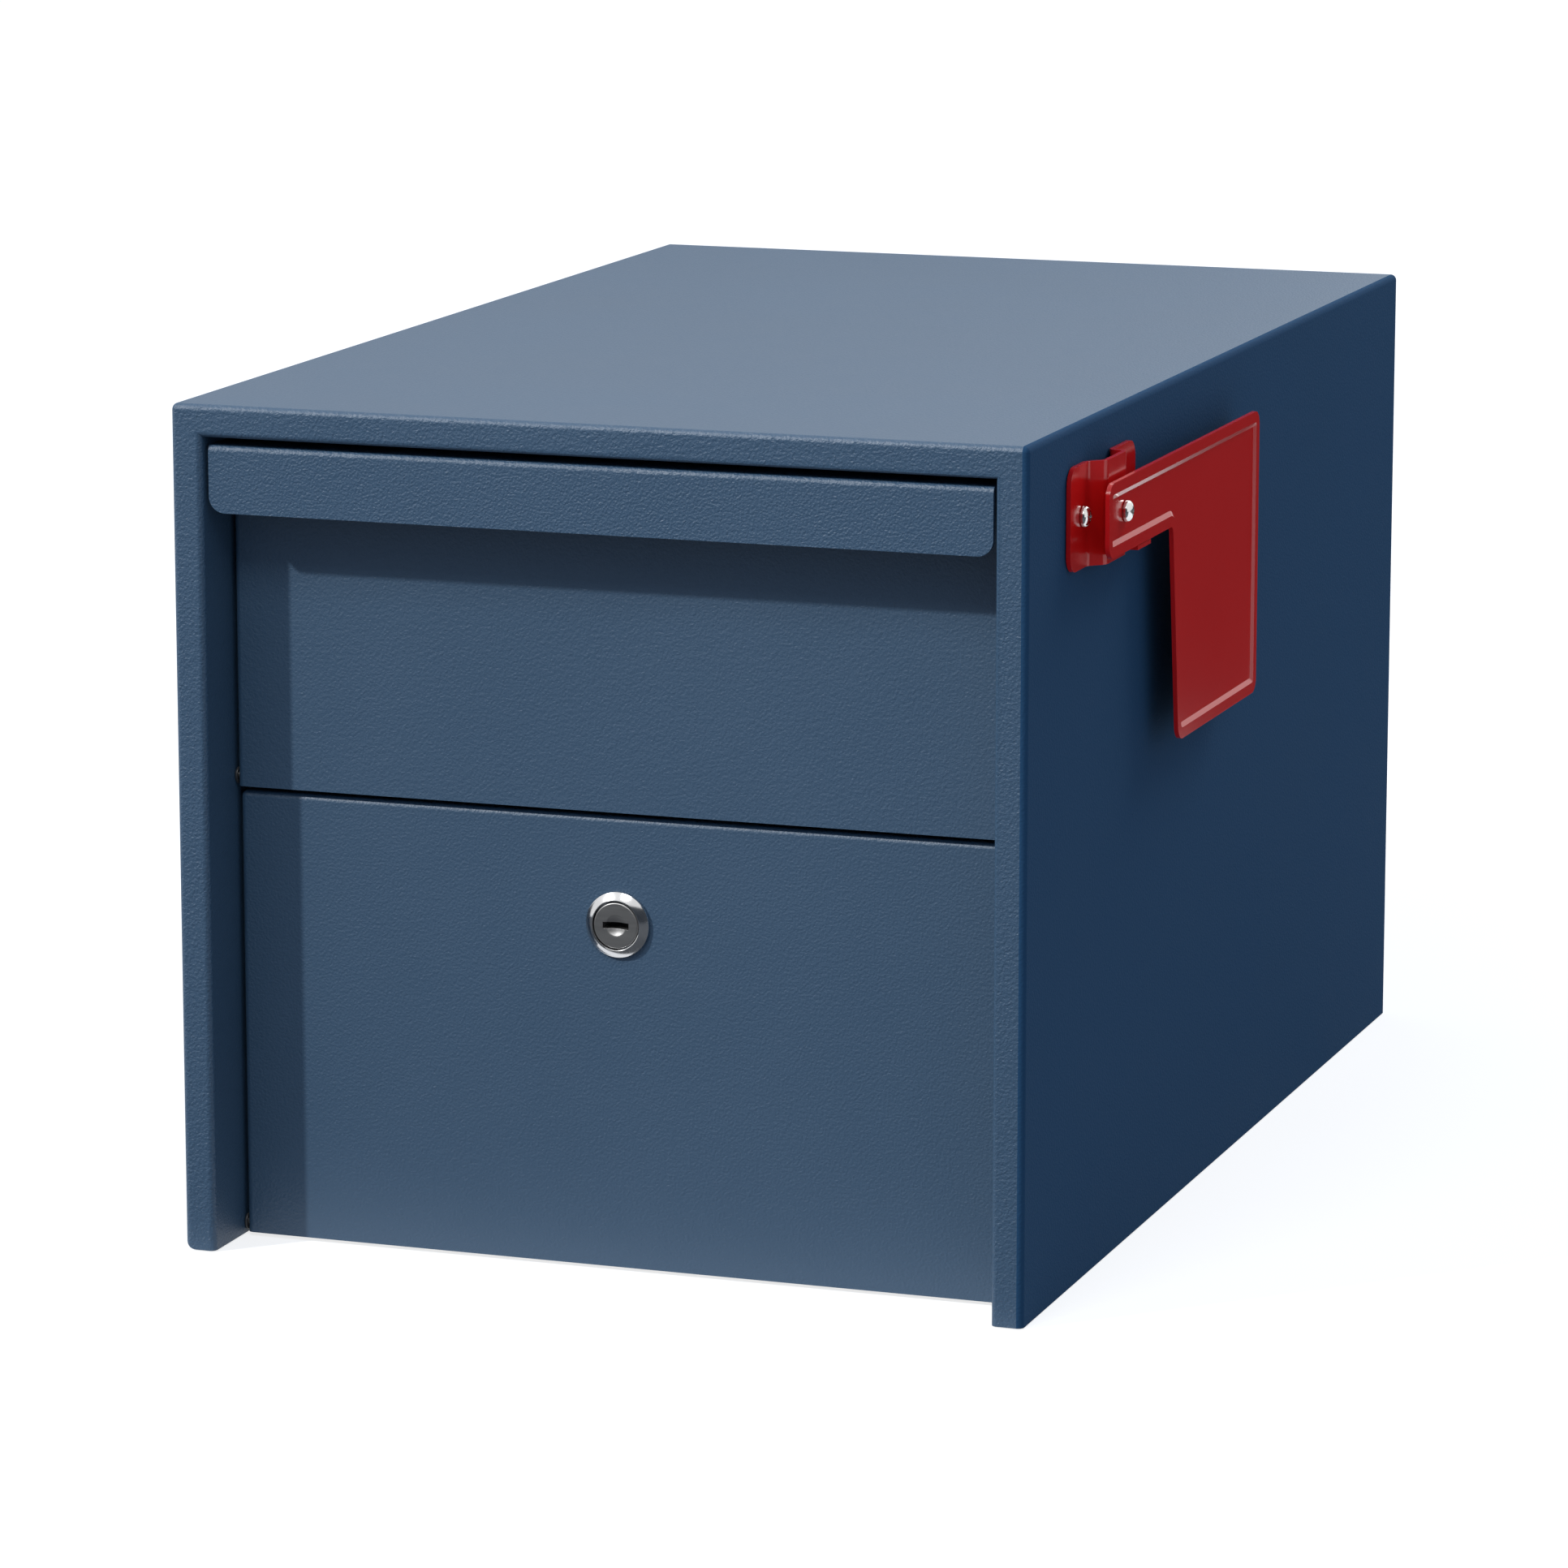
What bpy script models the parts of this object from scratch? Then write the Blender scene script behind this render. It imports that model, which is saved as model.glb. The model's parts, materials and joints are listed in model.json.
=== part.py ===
"""Locking steel mailbox: folded housing, pull-down mail door, keyed access door and signal flag.

Units are metres. X is to the right seen from the front, the front faces -Y and +Z is up.
The origin is the middle of the housing's underside.
"""

import math

import bmesh
import bpy
from mathutils import Vector

# Housing
WIDTH = 0.298
HEIGHT = 0.290
DEPTH = 0.472
SHEET = 0.0015
BEND = 0.0022
TOP_CORNER = 0.002
LIP = 0.011
LIP_RETURN = 0.040
FLANGE = 0.015
BACK_INSET = 0.0005
MOUNT_HOLE_R = 0.00425
MOUNT_SPAN_X = 0.140
MOUNT_SPAN_Y = 0.220
DRAIN_HOLE_R = 0.003
DRAIN_INSET = 0.030

# Gaps: FIT lies between pieces that touch, the others are running gaps that show
FIT = 0.0003
DOOR_SIDE_GAP = 0.0014
DOOR_FLOOR_GAP = 0.0008
SEAM_GAP = 0.0018
HANDLE_TOP_GAP = 0.0027

# Doors
MAIL_DOOR_RECESS = 0.022
ACCESS_DOOR_RECESS = 0.024
ACCESS_DOOR_HEIGHT = 0.1546
DOOR_FLANGE = 0.010
HANDLE_RECESS = 0.0025
HANDLE_HEIGHT = 0.0228
HANDLE_CORNER = 0.0055

# Hinges
ROD_R = 0.0015
ROD_OVERHANG = 0.003
HINGE_RISE = 0.0032
EAR_R = 0.0029
RING_R = 0.0031
RING_THICK = 0.0008

# Hopper behind the mail door
WING_SHEET = 0.0012
WING_RADIUS = 0.088
WING_FRONT_TOP = 0.092
WING_ROD_GAP = 0.003
WING_TOP_ANGLE = math.radians(29.5)
STOP_TAB_ANGLE = math.radians(28.3)
STOP_TAB_LENGTH = 0.012
STOP_TAB_REACH = 0.0095
HOPPER_PLATE_HEIGHT = 0.040
HOPPER_PLATE_FLANGE = 0.012
HOPPER_PLATE_ANGLE = math.radians(15.5)
RIVET_R = 0.0016
RIVET_HEAD_R = 0.003
RIVET_HEAD = 0.001

# Lock rail, its brackets and the bumpers
RAIL_SHEET = 0.002
RAIL_SHELF = 0.0255
RAIL_WEB = 0.018
RAIL_BRACKET_LEG = 0.020
BUMPER_R = 0.005
BUMPER_HEIGHT = 0.003
ACCESS_BUMPER_INSET = 0.0363

# Cam lock
LOCK_BELOW_TOP = 0.0364
BEZEL_R = 0.0112
BEZEL_RIM = 0.0008
BEZEL_HEIGHT = 0.0028
BARREL_R = 0.0095
BARREL_FLAT = 0.008
PLUG_FACE_R = 0.0079
PLUG_FACE = 0.0016
PLUG_R = 0.0062
KEYWAY_LENGTH = 0.0092
KEYWAY_WIDTH = 0.0022
KEYWAY_DEPTH = 0.010
KEY_DISH_R = 0.0035
KEY_DISH = 0.0008
LOCK_NUT_R = 0.0135
LOCK_NUT = 0.004
LOCK_PLATE_X = 0.090
LOCK_PLATE_Z = 0.056
LOCK_PLATE = 0.002
LOCK_PLATE_CORNER = 0.0055
TAIL = 0.007
CAM_RUN = 0.002
CAM_SHEET = 0.0025
CAM_WIDTH = 0.016
CAM_REACH_GAP = 0.001
CAM_HEEL = 0.009
CAM_SCREW_R = 0.002
CAM_SCREW_HEAD_R = 0.0042
CAM_SCREW_HEAD = 0.003
CAM_SCREW_LENGTH = 0.010
WASHER = 0.0007

# Flag and its bracket
FLAG_FRONT = 0.055
FLAG_BELOW_TOP = 0.0198
FLAG_LENGTH = 0.183
FLAG_ARM = 0.0248
FLAG_DROP = 0.100
FLAG_PLATE = 0.108
FLAG_TAPER = 0.0095
FLAG_CORNER = 0.005
FLAG_SHEET = 0.0015
FLAG_RIM = 0.0036
FLAG_BEVEL = 0.0016
FLAG_EMBOSS = 0.0008
PIVOT_FROM_FRONT = 0.0205
PIVOT_FROM_TOP = 0.0114
BRACKET_SHEET = 0.0015
BRACKET_FRONT_FLANGE = 0.019
BRACKET_SCREW_INSET = 0.0133
BRACKET_RAMP = 0.005
BRACKET_CROWN = 0.022
BRACKET_WEB = 0.0015
BRACKET_REAR_FLANGE = 0.026
BRACKET_HEIGHT = 0.0345
BRACKET_RISE = 0.0010
BRACKET_STANDOFF = 0.0067
BRACKET_CORNER = 0.006
FLAG_STOP_WIDTH = 0.0195
FLAG_STOP_CORNER = 0.005
SCREW_R = 0.002
SCREW_HEAD_R = 0.0035
SCREW_HEAD = 0.0025
SCREW_END = 0.001
NUT_R = 0.0042
NUT = 0.003

# Arc and round facets, the angle over which an edge is drawn sharp, and the outline of a domed head
# as shares of its radius and height
ARC_STEPS = 4
ROUND_SIDES = 18
SHARP_ANGLE = math.radians(30)
DOME = ((1.0, 0.0), (1.0, 0.3), (0.85, 0.7), (0.5, 1.0))

# Places worked out from the sizes above
FRONT = -DEPTH / 2
BACK = DEPTH / 2
WALL_X = WIDTH / 2
INNER_X = WALL_X - SHEET - FIT
OPENING_X = WALL_X - LIP
OPENING_TOP = HEIGHT - LIP
RETURN_END = FRONT + LIP_RETURN
DOOR_X = OPENING_X - DOOR_SIDE_GAP

MAIL_FACE = FRONT + MAIL_DOOR_RECESS
MAIL_TOP = OPENING_TOP - HANDLE_TOP_GAP
ACCESS_FACE = FRONT + ACCESS_DOOR_RECESS
ACCESS_BOTTOM = DOOR_FLOOR_GAP
ACCESS_TOP = ACCESS_BOTTOM + ACCESS_DOOR_HEIGHT
MAIL_BOTTOM = ACCESS_TOP + SEAM_GAP

HINGE_SETBACK = SHEET + FIT + ROD_R
MAIL_HINGE = Vector((0.0, MAIL_FACE + HINGE_SETBACK, MAIL_BOTTOM + HINGE_RISE))
ACCESS_HINGE = Vector((0.0, ACCESS_FACE + HINGE_SETBACK, ACCESS_BOTTOM + HINGE_RISE))
FLOOR_FRONT = ACCESS_HINGE.y + HINGE_RISE + FIT
BACK_FACE = BACK - BACK_INSET

RAIL_FACE = RETURN_END + FIT
RAIL_BACK = RAIL_FACE + RAIL_SHEET
RAIL_TOP = ACCESS_TOP - FIT
RAIL_LOW = RAIL_TOP - RAIL_WEB
WING_LOW = RAIL_TOP + BUMPER_HEIGHT + 2 * FIT
WING_X = DOOR_X - SHEET - 2 * FIT - WING_SHEET

LOCK = Vector((0.0, ACCESS_FACE, ACCESS_TOP - LOCK_BELOW_TOP))
BARREL_END = RAIL_BACK + CAM_RUN - FIT
CAM_FACE = BARREL_END + FIT
CAM_LENGTH = RAIL_TOP - RAIL_SHEET - CAM_REACH_GAP - LOCK.z

FLAG_TOP = HEIGHT - FLAG_BELOW_TOP
PIVOT = Vector((WALL_X, FRONT + FLAG_FRONT + PIVOT_FROM_FRONT, FLAG_TOP - PIVOT_FROM_TOP))
CROWN_X = WALL_X + BRACKET_STANDOFF + FIT
FIELD_BACK = CROWN_X + WASHER + 2 * FIT
FIELD_FACE = FIELD_BACK + FLAG_SHEET
RIM_FACE = FIELD_FACE + FLAG_EMBOSS
BRACKET_START = PIVOT.y - BRACKET_CROWN / 2 - BRACKET_RAMP - BRACKET_FRONT_FLANGE
BRACKET_MID = PIVOT.z + BRACKET_RISE


def make_material(name, colour, metallic, roughness):
    """Principled material with one colour."""
    made = bpy.data.materials.new(name)
    made.use_nodes = True
    shader = made.node_tree.nodes["Principled BSDF"]
    shader.inputs["Base Color"].default_value = (*colour, 1.0)
    shader.inputs["Metallic"].default_value = metallic
    shader.inputs["Roughness"].default_value = roughness
    made.diffuse_color = (*colour, 1.0)
    return made


def make_pivot(name, place, parent=None):
    """Empty on a joint's axis. The pieces that turn together hang from it."""
    pivot = bpy.data.objects.new(name, None)
    bpy.context.collection.objects.link(pivot)
    pivot.parent = parent
    pivot.location = place - (world_place(parent) if parent else Vector())
    return pivot


def world_place(thing):
    """Where a pivot lies in the world, up through its parents."""
    place = thing.location.copy()
    while thing.parent:
        thing = thing.parent
        place += thing.location
    return place


def loft(loops, ring=False):
    """Closed mesh through loops of equal length: capped at its ends, or joined end to end as a ring."""
    shape = bmesh.new()
    rows = [[shape.verts.new(point) for point in loop] for loop in loops]
    pairs = list(zip(rows, rows[1:]))
    if ring:
        pairs.append((rows[-1], rows[0]))
    else:
        shape.faces.new(rows[0])
        shape.faces.new(rows[-1])
    for near, far in pairs:
        for i in range(len(near)):
            shape.faces.new((near[i - 1], near[i], far[i], far[i - 1]))
    bmesh.ops.recalc_face_normals(shape, faces=shape.faces)
    return shape


def add_piece(name, shape, material, pivot=None):
    """Named object from a mesh in world coordinates, with its origin on its pivot."""
    mesh = bpy.data.meshes.new(name)
    if pivot:
        bmesh.ops.translate(shape, vec=-world_place(pivot), verts=shape.verts)
    shape.to_mesh(mesh)
    shape.free()
    mesh.materials.append(material)
    mesh.shade_smooth()
    mesh.set_sharp_from_angle(angle=SHARP_ANGLE)
    piece = bpy.data.objects.new(name, mesh)
    piece.parent = pivot
    bpy.context.collection.objects.link(piece)
    return piece


def combine(piece, shape, operation):
    """Cut, join or intersect a piece with a helper shape, which stays hidden."""
    helper = add_piece(piece.name + "_tool", shape, piece.data.materials[0], piece.parent)
    helper.hide_render = True
    helper.display_type = "WIRE"
    modifier = piece.modifiers.new(operation.title(), "BOOLEAN")
    modifier.operation = operation
    modifier.solver = "EXACT"
    modifier.object = helper


def rounded(corners):
    """Closed outline through corners (u, v, radius), with an arc where the radius isn't zero."""
    outline = []
    for i, (u, v, radius) in enumerate(corners):
        corner = Vector((u, v))
        to_last = (Vector(corners[i - 1][:2]) - corner).normalized()
        to_next = (Vector(corners[(i + 1) % len(corners)][:2]) - corner).normalized()
        if radius == 0.0:
            outline.append(corner)
            continue
        half = to_last.angle(to_next) / 2
        centre = corner + (to_last + to_next).normalized() * radius / math.sin(half)
        first = corner + to_last * radius / math.tan(half) - centre
        last = corner + to_next * radius / math.tan(half) - centre
        sweep = math.atan2(first.x * last.y - first.y * last.x, first.dot(last))
        start = math.atan2(first.y, first.x)
        for step in range(ARC_STEPS + 1):
            angle = start + sweep * step / ARC_STEPS
            outline.append(centre + radius * Vector((math.cos(angle), math.sin(angle))))
    return outline


def folded(path, thickness):
    """Outline of a folded sheet whose middle line runs through the points of path."""
    points = [Vector(point) for point in path]
    left, right = [], []
    for i, point in enumerate(points):
        back = (point - points[i - 1]).normalized() if i else None
        ahead = (points[i + 1] - point).normalized() if i + 1 < len(points) else None
        run = back or ahead
        out = ahead or back
        turn = run.x * out.y - run.y * out.x
        mitre = Vector((-run.y - out.y, run.x + out.x)).normalized()
        reach = thickness / 2 / mitre.dot(Vector((-run.y, run.x)))
        inside = BEND - SHEET
        bends = (inside, inside + thickness) if turn > 0 else (inside + thickness, inside)
        if back is None or ahead is None:
            bends = (0.0, 0.0)
        left.append((*(point + mitre * reach), bends[0]))
        right.append((*(point - mitre * reach), bends[1]))
    return rounded(left + right[::-1])


def inset(corners, distance):
    """The same outline moved inwards, for corners that run anticlockwise."""
    moved = []
    for i, (u, v, radius) in enumerate(corners):
        corner = Vector((u, v))
        run = (corner - Vector(corners[i - 1][:2])).normalized()
        out = (Vector(corners[(i + 1) % len(corners)][:2]) - corner).normalized()
        mitre = Vector((-run.y - out.y, run.x + out.x)).normalized()
        turn = run.x * out.y - run.y * out.x
        place = corner + mitre * distance / mitre.dot(Vector((-run.y, run.x)))
        left_over = radius - math.copysign(distance, turn)
        moved.append((place.x, place.y, max(left_over, FIT)))
    return moved


def along_x(outline, low, high):
    """Outline in (Y, Z) extruded along X."""
    return loft([[Vector((x, u, v)) for u, v in outline] for x in (low, high)])


def along_y(outline, low, high):
    """Outline in (X, Z) extruded along Y."""
    return loft([[Vector((u, y, v)) for u, v in outline] for y in (low, high)])


def along_z(outline, low, high):
    """Outline in (X, Y) extruded along Z."""
    return loft([[Vector((u, v, z)) for u, v in outline] for z in (low, high)])


def box(low, high):
    """Box between two opposite corners."""
    outline = [(low[0], low[1]), (high[0], low[1]), (high[0], high[1]), (low[0], high[1])]
    return along_z(outline, low[2], high[2])


def circle(axis, place, radius, run, sides=ROUND_SIDES):
    """Loop of points round an axis ('X', 'Y' or 'Z') through place, at a distance run along it."""
    loop = []
    for i in range(sides):
        angle = 2 * math.pi * i / sides
        across, up = radius * math.cos(angle), radius * math.sin(angle)
        offset = {"X": (run, across, up), "Y": (across, run, up), "Z": (across, up, run)}[axis]
        loop.append(place + Vector(offset))
    return loop


def hexagon(axis, place, radius, run):
    """Loop of a six-sided outline, with as many points as a circle."""
    loop = []
    for i, point in enumerate(circle(axis, place, radius, run)):
        angle = 2 * math.pi * i / ROUND_SIDES
        off_flat = (angle % (math.pi / 3)) - math.pi / 6
        centre = place + {"X": Vector((run, 0, 0)), "Y": Vector((0, run, 0))}[axis]
        loop.append(centre + (point - centre) * math.cos(math.pi / 6) / math.cos(off_flat))
    return loop


def turned(axis, place, profile, ring=False):
    """Turned solid from (radius, run) points: capped, or a ring when the profile closes on itself."""
    return loft([circle(axis, place, radius, run) for radius, run in profile], ring)


def drill(piece, axis, place, radius, low, high):
    """Round hole through a piece."""
    combine(piece, turned(axis, place, [(radius, low), (radius, high)]), "DIFFERENCE")


def pan(half, low, high, corner, depth, place):
    """Sheet pan: a flat face with a flange all round. place maps (u, v, depth) to the world."""

    def loop(offset, run):
        radius = max(corner - offset, FIT)
        corners = [
            (-half + offset, low + offset, radius),
            (half - offset, low + offset, radius),
            (half - offset, high - offset, radius),
            (-half + offset, high - offset, radius),
        ]
        return [Vector(place(u, v, run)) for u, v in rounded(corners)]

    def bend(radius, offset, run):
        angles = [math.pi / 2 * step / ARC_STEPS for step in range(ARC_STEPS + 1)]
        return [(offset + radius * (1 - math.sin(a)), run + radius * (1 - math.cos(a))) for a in angles]

    outside = bend(BEND, 0.0, 0.0) + [(0.0, depth)]
    inside = bend(BEND - SHEET, SHEET, SHEET) + [(SHEET, depth)]
    return loft([loop(*step) for step in outside + inside[::-1]])


def domed(radius, seat, height):
    """Profile of a domed head or pad, from its seat to its top."""
    return [(radius * wide, seat + height * up) for wide, up in DOME]


def pan_screw(name, axis, place, seat, end, material, pivot=None):
    """Round-headed screw: its head stands on seat and its shank runs back to end."""
    profile = domed(SCREW_HEAD_R, seat, SCREW_HEAD)[::-1] + [(SCREW_R, seat), (SCREW_R, end)]
    return add_piece(name, turned(axis, place, profile), material, pivot)


def hex_nut(name, axis, place, low, high, radius, bore, material, pivot=None):
    """Six-sided nut between two places along its axis."""
    loops = [
        hexagon(axis, place, radius, low),
        hexagon(axis, place, radius, high),
        circle(axis, place, bore, high),
        circle(axis, place, bore, low),
    ]
    return add_piece(name, loft(loops, ring=True), material, pivot)


def flat_ring(name, axis, place, low, high, radius, bore, material, pivot=None):
    """Washer, spacer or retaining ring between two places along its axis."""
    profile = [(radius, low), (radius, high), (bore, high), (bore, low)]
    return add_piece(name, turned(axis, place, profile, ring=True), material, pivot)


def rivet(name, axis, place, low, high, material, pivot=None):
    """Rivet that clamps what lies between low and high, with a head at each end."""
    under, over = low - FIT, high + FIT
    profile = domed(RIVET_HEAD_R, under, -RIVET_HEAD)[::-1]
    profile += [(RIVET_R, under), (RIVET_R, over)]
    profile += domed(RIVET_HEAD_R, over, RIVET_HEAD)
    return add_piece(name, turned(axis, place, profile), material, pivot)


def build_body_shell(material):
    """Top and sides from one sheet. The hook-shaped hem section is swept up one side, across and down."""
    half = SHEET / 2
    hook = folded(
        [(half, BACK), (half, FRONT + half), (LIP - half, FRONT + half), (LIP - half, RETURN_END)], SHEET
    )

    def station(side, angle):
        loop = []
        for inward, y in hook:
            radius = max(TOP_CORNER - inward, FIT)
            centre = inward + radius
            x = side * (WALL_X - centre + radius * math.cos(angle))
            loop.append(Vector((x, y, HEIGHT - centre + radius * math.sin(angle))))
        return loop

    def foot(side):
        return [Vector((side * (WALL_X - inward), y, 0.0)) for inward, y in hook]

    angles = [math.pi / 2 * step / ARC_STEPS for step in range(ARC_STEPS + 1)]
    loops = [foot(-1)]
    loops += [station(-1, angle) for angle in angles]
    loops += [station(1, angle) for angle in angles[::-1]]
    loops += [foot(1)]
    shell = add_piece("body_shell", loft(loops), material)
    for side in (-1, 1):
        middle = side * (OPENING_X + SHEET / 2)
        for hinge in (MAIL_HINGE, ACCESS_HINGE):
            drill(shell, "X", hinge, ROD_R + FIT, middle - SHEET, middle + SHEET)
        floor_notch = box(
            (middle - SHEET, FLOOR_FRONT - FIT, -SHEET), (middle + SHEET, RETURN_END + SHEET, FLANGE + FIT)
        )
        combine(shell, floor_notch, "DIFFERENCE")
    for y in bracket_screw_places():
        drill(shell, "X", Vector((WALL_X, y, BRACKET_MID)), SCREW_R + FIT, -2 * SHEET, SHEET)


def build_back_panel(material):
    """Back pan. It closes the shell above the floor plate's rear flange."""
    shape = pan(
        INNER_X,
        FLANGE + FIT,
        HEIGHT - SHEET - FIT,
        TOP_CORNER - SHEET,
        FLANGE,
        lambda u, v, run: (u, BACK_FACE - run, v),
    )
    add_piece("back_panel", shape, material)


def build_floor_plate(material):
    """Floor pan with mounting and drain holes. Its front flange is also the access door's stop."""
    shape = pan(INNER_X, FLOOR_FRONT, BACK_FACE, TOP_CORNER - SHEET, FLANGE, lambda u, v, run: (u, v, run))
    floor = add_piece("floor_plate", shape, material)
    for side in (-1, 1):
        for end in (-1, 1):
            mount = Vector((side * MOUNT_SPAN_X / 2, end * MOUNT_SPAN_Y / 2, 0.0))
            drill(floor, "Z", mount, MOUNT_HOLE_R, -SHEET, 2 * SHEET)
            drain_y = BACK_FACE - DRAIN_INSET if end > 0 else FLOOR_FRONT + DRAIN_INSET
            drain = Vector((side * (INNER_X - DRAIN_INSET), drain_y, 0.0))
            drill(floor, "Z", drain, DRAIN_HOLE_R, -SHEET, 2 * SHEET)


def build_rail(paint, zinc, rubber):
    """Angle across the housing that the cam catches, with its end brackets, rivets and door bumpers."""
    half = RAIL_SHEET / 2
    angle = folded(
        [
            (RAIL_FACE + half, RAIL_LOW),
            (RAIL_FACE + half, RAIL_TOP - half),
            (RAIL_FACE + RAIL_SHELF, RAIL_TOP - half),
        ],
        RAIL_SHEET,
    )
    rail = add_piece("lock_rail", along_x(angle, -INNER_X, INNER_X), paint)
    rivet_x = OPENING_X - RIVET_HEAD_R - 2 * FIT
    leg_back = RAIL_BACK + FIT + SHEET
    middle = RAIL_BACK + FIT + SHEET / 2
    leg_top = RAIL_TOP - RAIL_SHEET - BEND
    leg_mid = (RAIL_LOW + leg_top) / 2
    wing_y = RAIL_FACE + RAIL_SHELF / 2
    for side, end in ((-1, "left"), (1, "right")):
        wall = side * (INNER_X - SHEET / 2)
        inner = side * (rivet_x - 2 * RIVET_HEAD_R)
        bracket_path = [(inner, middle), (wall, middle), (wall, middle + RAIL_BRACKET_LEG)]
        bracket = add_piece(
            "rail_bracket_" + end, along_z(folded(bracket_path, SHEET), RAIL_LOW + FIT, leg_top), paint
        )
        spot = Vector((side * rivet_x, 0.0, leg_mid))
        drill(rail, "Y", spot, RIVET_R + FIT, RAIL_FACE - SHEET, RAIL_BACK + SHEET)
        drill(bracket, "Y", spot, RIVET_R + FIT, RAIL_BACK - SHEET, leg_back + SHEET)
        rivet("rail_rivet_" + end, "Y", spot, RAIL_FACE, leg_back, zinc)
        under_wing = Vector((side * (WING_X + WING_SHEET / 2), wing_y, RAIL_TOP + FIT))
        pad = domed(BUMPER_R, 0.0, BUMPER_HEIGHT)
        add_piece("mail_door_bumper_" + end, turned("Z", under_wing, pad), rubber)
        reach = RAIL_FACE - FIT - (ACCESS_FACE + DOOR_FLANGE + FIT)
        behind = Vector((side * (DOOR_X - ACCESS_BUMPER_INSET), RAIL_FACE - FIT, RAIL_TOP - BUMPER_R))
        stop = domed(BUMPER_R, 0.0, -reach)
        add_piece("access_door_bumper_" + end, turned("Y", behind, stop), rubber)


def build_hinge_rod(name, hinge, steel):
    """Straight hinge rod through both returns, with a retaining ring on each end."""
    end_x = OPENING_X + SHEET + ROD_OVERHANG
    tip = ROD_R - FIT
    rod = [(tip, -end_x), (ROD_R, -end_x + FIT), (ROD_R, end_x - FIT), (tip, end_x)]
    add_piece(name + "_hinge_rod", turned("X", hinge, rod), steel)
    for side, end in ((-1, "left"), (1, "right")):
        near = side * (OPENING_X + SHEET + FIT)
        far = near + side * RING_THICK
        flat_ring(name + "_retaining_ring_" + end, "X", hinge, near, far, RING_R, ROD_R + FIT, steel)


def build_mail_door(pivot, paint, zinc, nylon):
    """Front panel with its shelf and handle strip, and the hopper wings and plate behind it."""
    half = SHEET / 2
    handle_y = FRONT + HANDLE_RECESS + half
    section = folded(
        [
            (MAIL_FACE + half, MAIL_BOTTOM),
            (MAIL_FACE + half, MAIL_TOP - half),
            (handle_y, MAIL_TOP - half),
            (handle_y, MAIL_TOP - HANDLE_HEIGHT),
        ],
        SHEET,
    )
    panel = add_piece("mail_door_panel", along_x(section, -DOOR_X, DOOR_X), paint, pivot)
    shelf_back = (MAIL_FACE + handle_y) / 2
    low = MAIL_TOP - HANDLE_HEIGHT
    for side in (-1, 1):
        off = side * (DOOR_X + SHEET)
        waste = [(off, low + HANDLE_CORNER), (off, low - SHEET)]
        waste.append((side * (DOOR_X - HANDLE_CORNER), low - SHEET))
        for step in range(2 * ARC_STEPS + 1):
            angle = -math.pi / 2 + math.pi / 2 * step / (2 * ARC_STEPS)
            x = side * (DOOR_X - HANDLE_CORNER * (1 - math.cos(angle)))
            waste.append((x, low + HANDLE_CORNER * (1 + math.sin(angle))))
        combine(panel, along_y(waste, FRONT - SHEET, shelf_back), "DIFFERENCE")
    flange_back = MAIL_FACE + DOOR_FLANGE
    flange_top = MAIL_TOP - 2 * BEND
    flange = [(MAIL_FACE + half, flange_top), (MAIL_FACE + half, MAIL_HINGE.z - EAR_R)]
    flange += ear(MAIL_HINGE) + [(MAIL_HINGE.y + EAR_R, notch_top(MAIL_HINGE))]
    flange += [(flange_back, notch_top(MAIL_HINGE)), (flange_back, flange_top)]
    for side in (-1, 1):
        span = side * (DOOR_X - SHEET - FIT), side * (DOOR_X - FIT)
        combine(panel, along_x(flange, *span), "UNION")
    drill(panel, "X", MAIL_HINGE, ROD_R + FIT, -DOOR_X - SHEET, DOOR_X + SHEET)
    add_spacers("mail_door", MAIL_HINGE, nylon, pivot)
    for side, end in ((-1, "left"), (1, "right")):
        build_wing(pivot, side, end, paint)
    build_hopper_plate(pivot, paint, zinc)


def ear(hinge):
    """Quarter arc of a hinge ear in (Y, Z), from under the rod to behind it."""
    arc = []
    for step in range(2 * ARC_STEPS + 1):
        angle = -math.pi / 2 + math.pi / 2 * step / (2 * ARC_STEPS)
        arc.append((hinge.y + EAR_R * math.cos(angle), hinge.z + EAR_R * math.sin(angle)))
    return arc


def notch_top(hinge):
    """Height up to which a door's side flange is cut back to its hinge ear."""
    return hinge.z - HINGE_RISE + FLANGE + DOOR_SIDE_GAP


def add_spacers(name, hinge, nylon, pivot):
    """Nylon spacers on a hinge rod, between the door's ears and the returns."""
    for side, end in ((-1, "left"), (1, "right")):
        span = side * (DOOR_X + FIT), side * (OPENING_X - FIT)
        flat_ring(name + "_spacer_" + end, "X", hinge, *span, EAR_R, ROD_R + FIT, nylon, pivot)


def hopper_point(radius, angle):
    """(Y, Z) at a radius from the mail door's hinge, at an angle up from straight back."""
    return MAIL_HINGE.y + radius * math.cos(angle), MAIL_HINGE.z + radius * math.sin(angle)


def rivet_angles():
    """Angles of the two rivets that hold each end of the hopper plate."""
    spread = HOPPER_PLATE_HEIGHT / 4 / WING_RADIUS
    return HOPPER_PLATE_ANGLE - spread, HOPPER_PLATE_ANGLE + spread


def hopper_rivet_radius():
    """Radius of those rivets from the hinge, in the middle of the plate's end flange."""
    return WING_RADIUS - WING_SHEET - HOPPER_PLATE_FLANGE / 2


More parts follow.
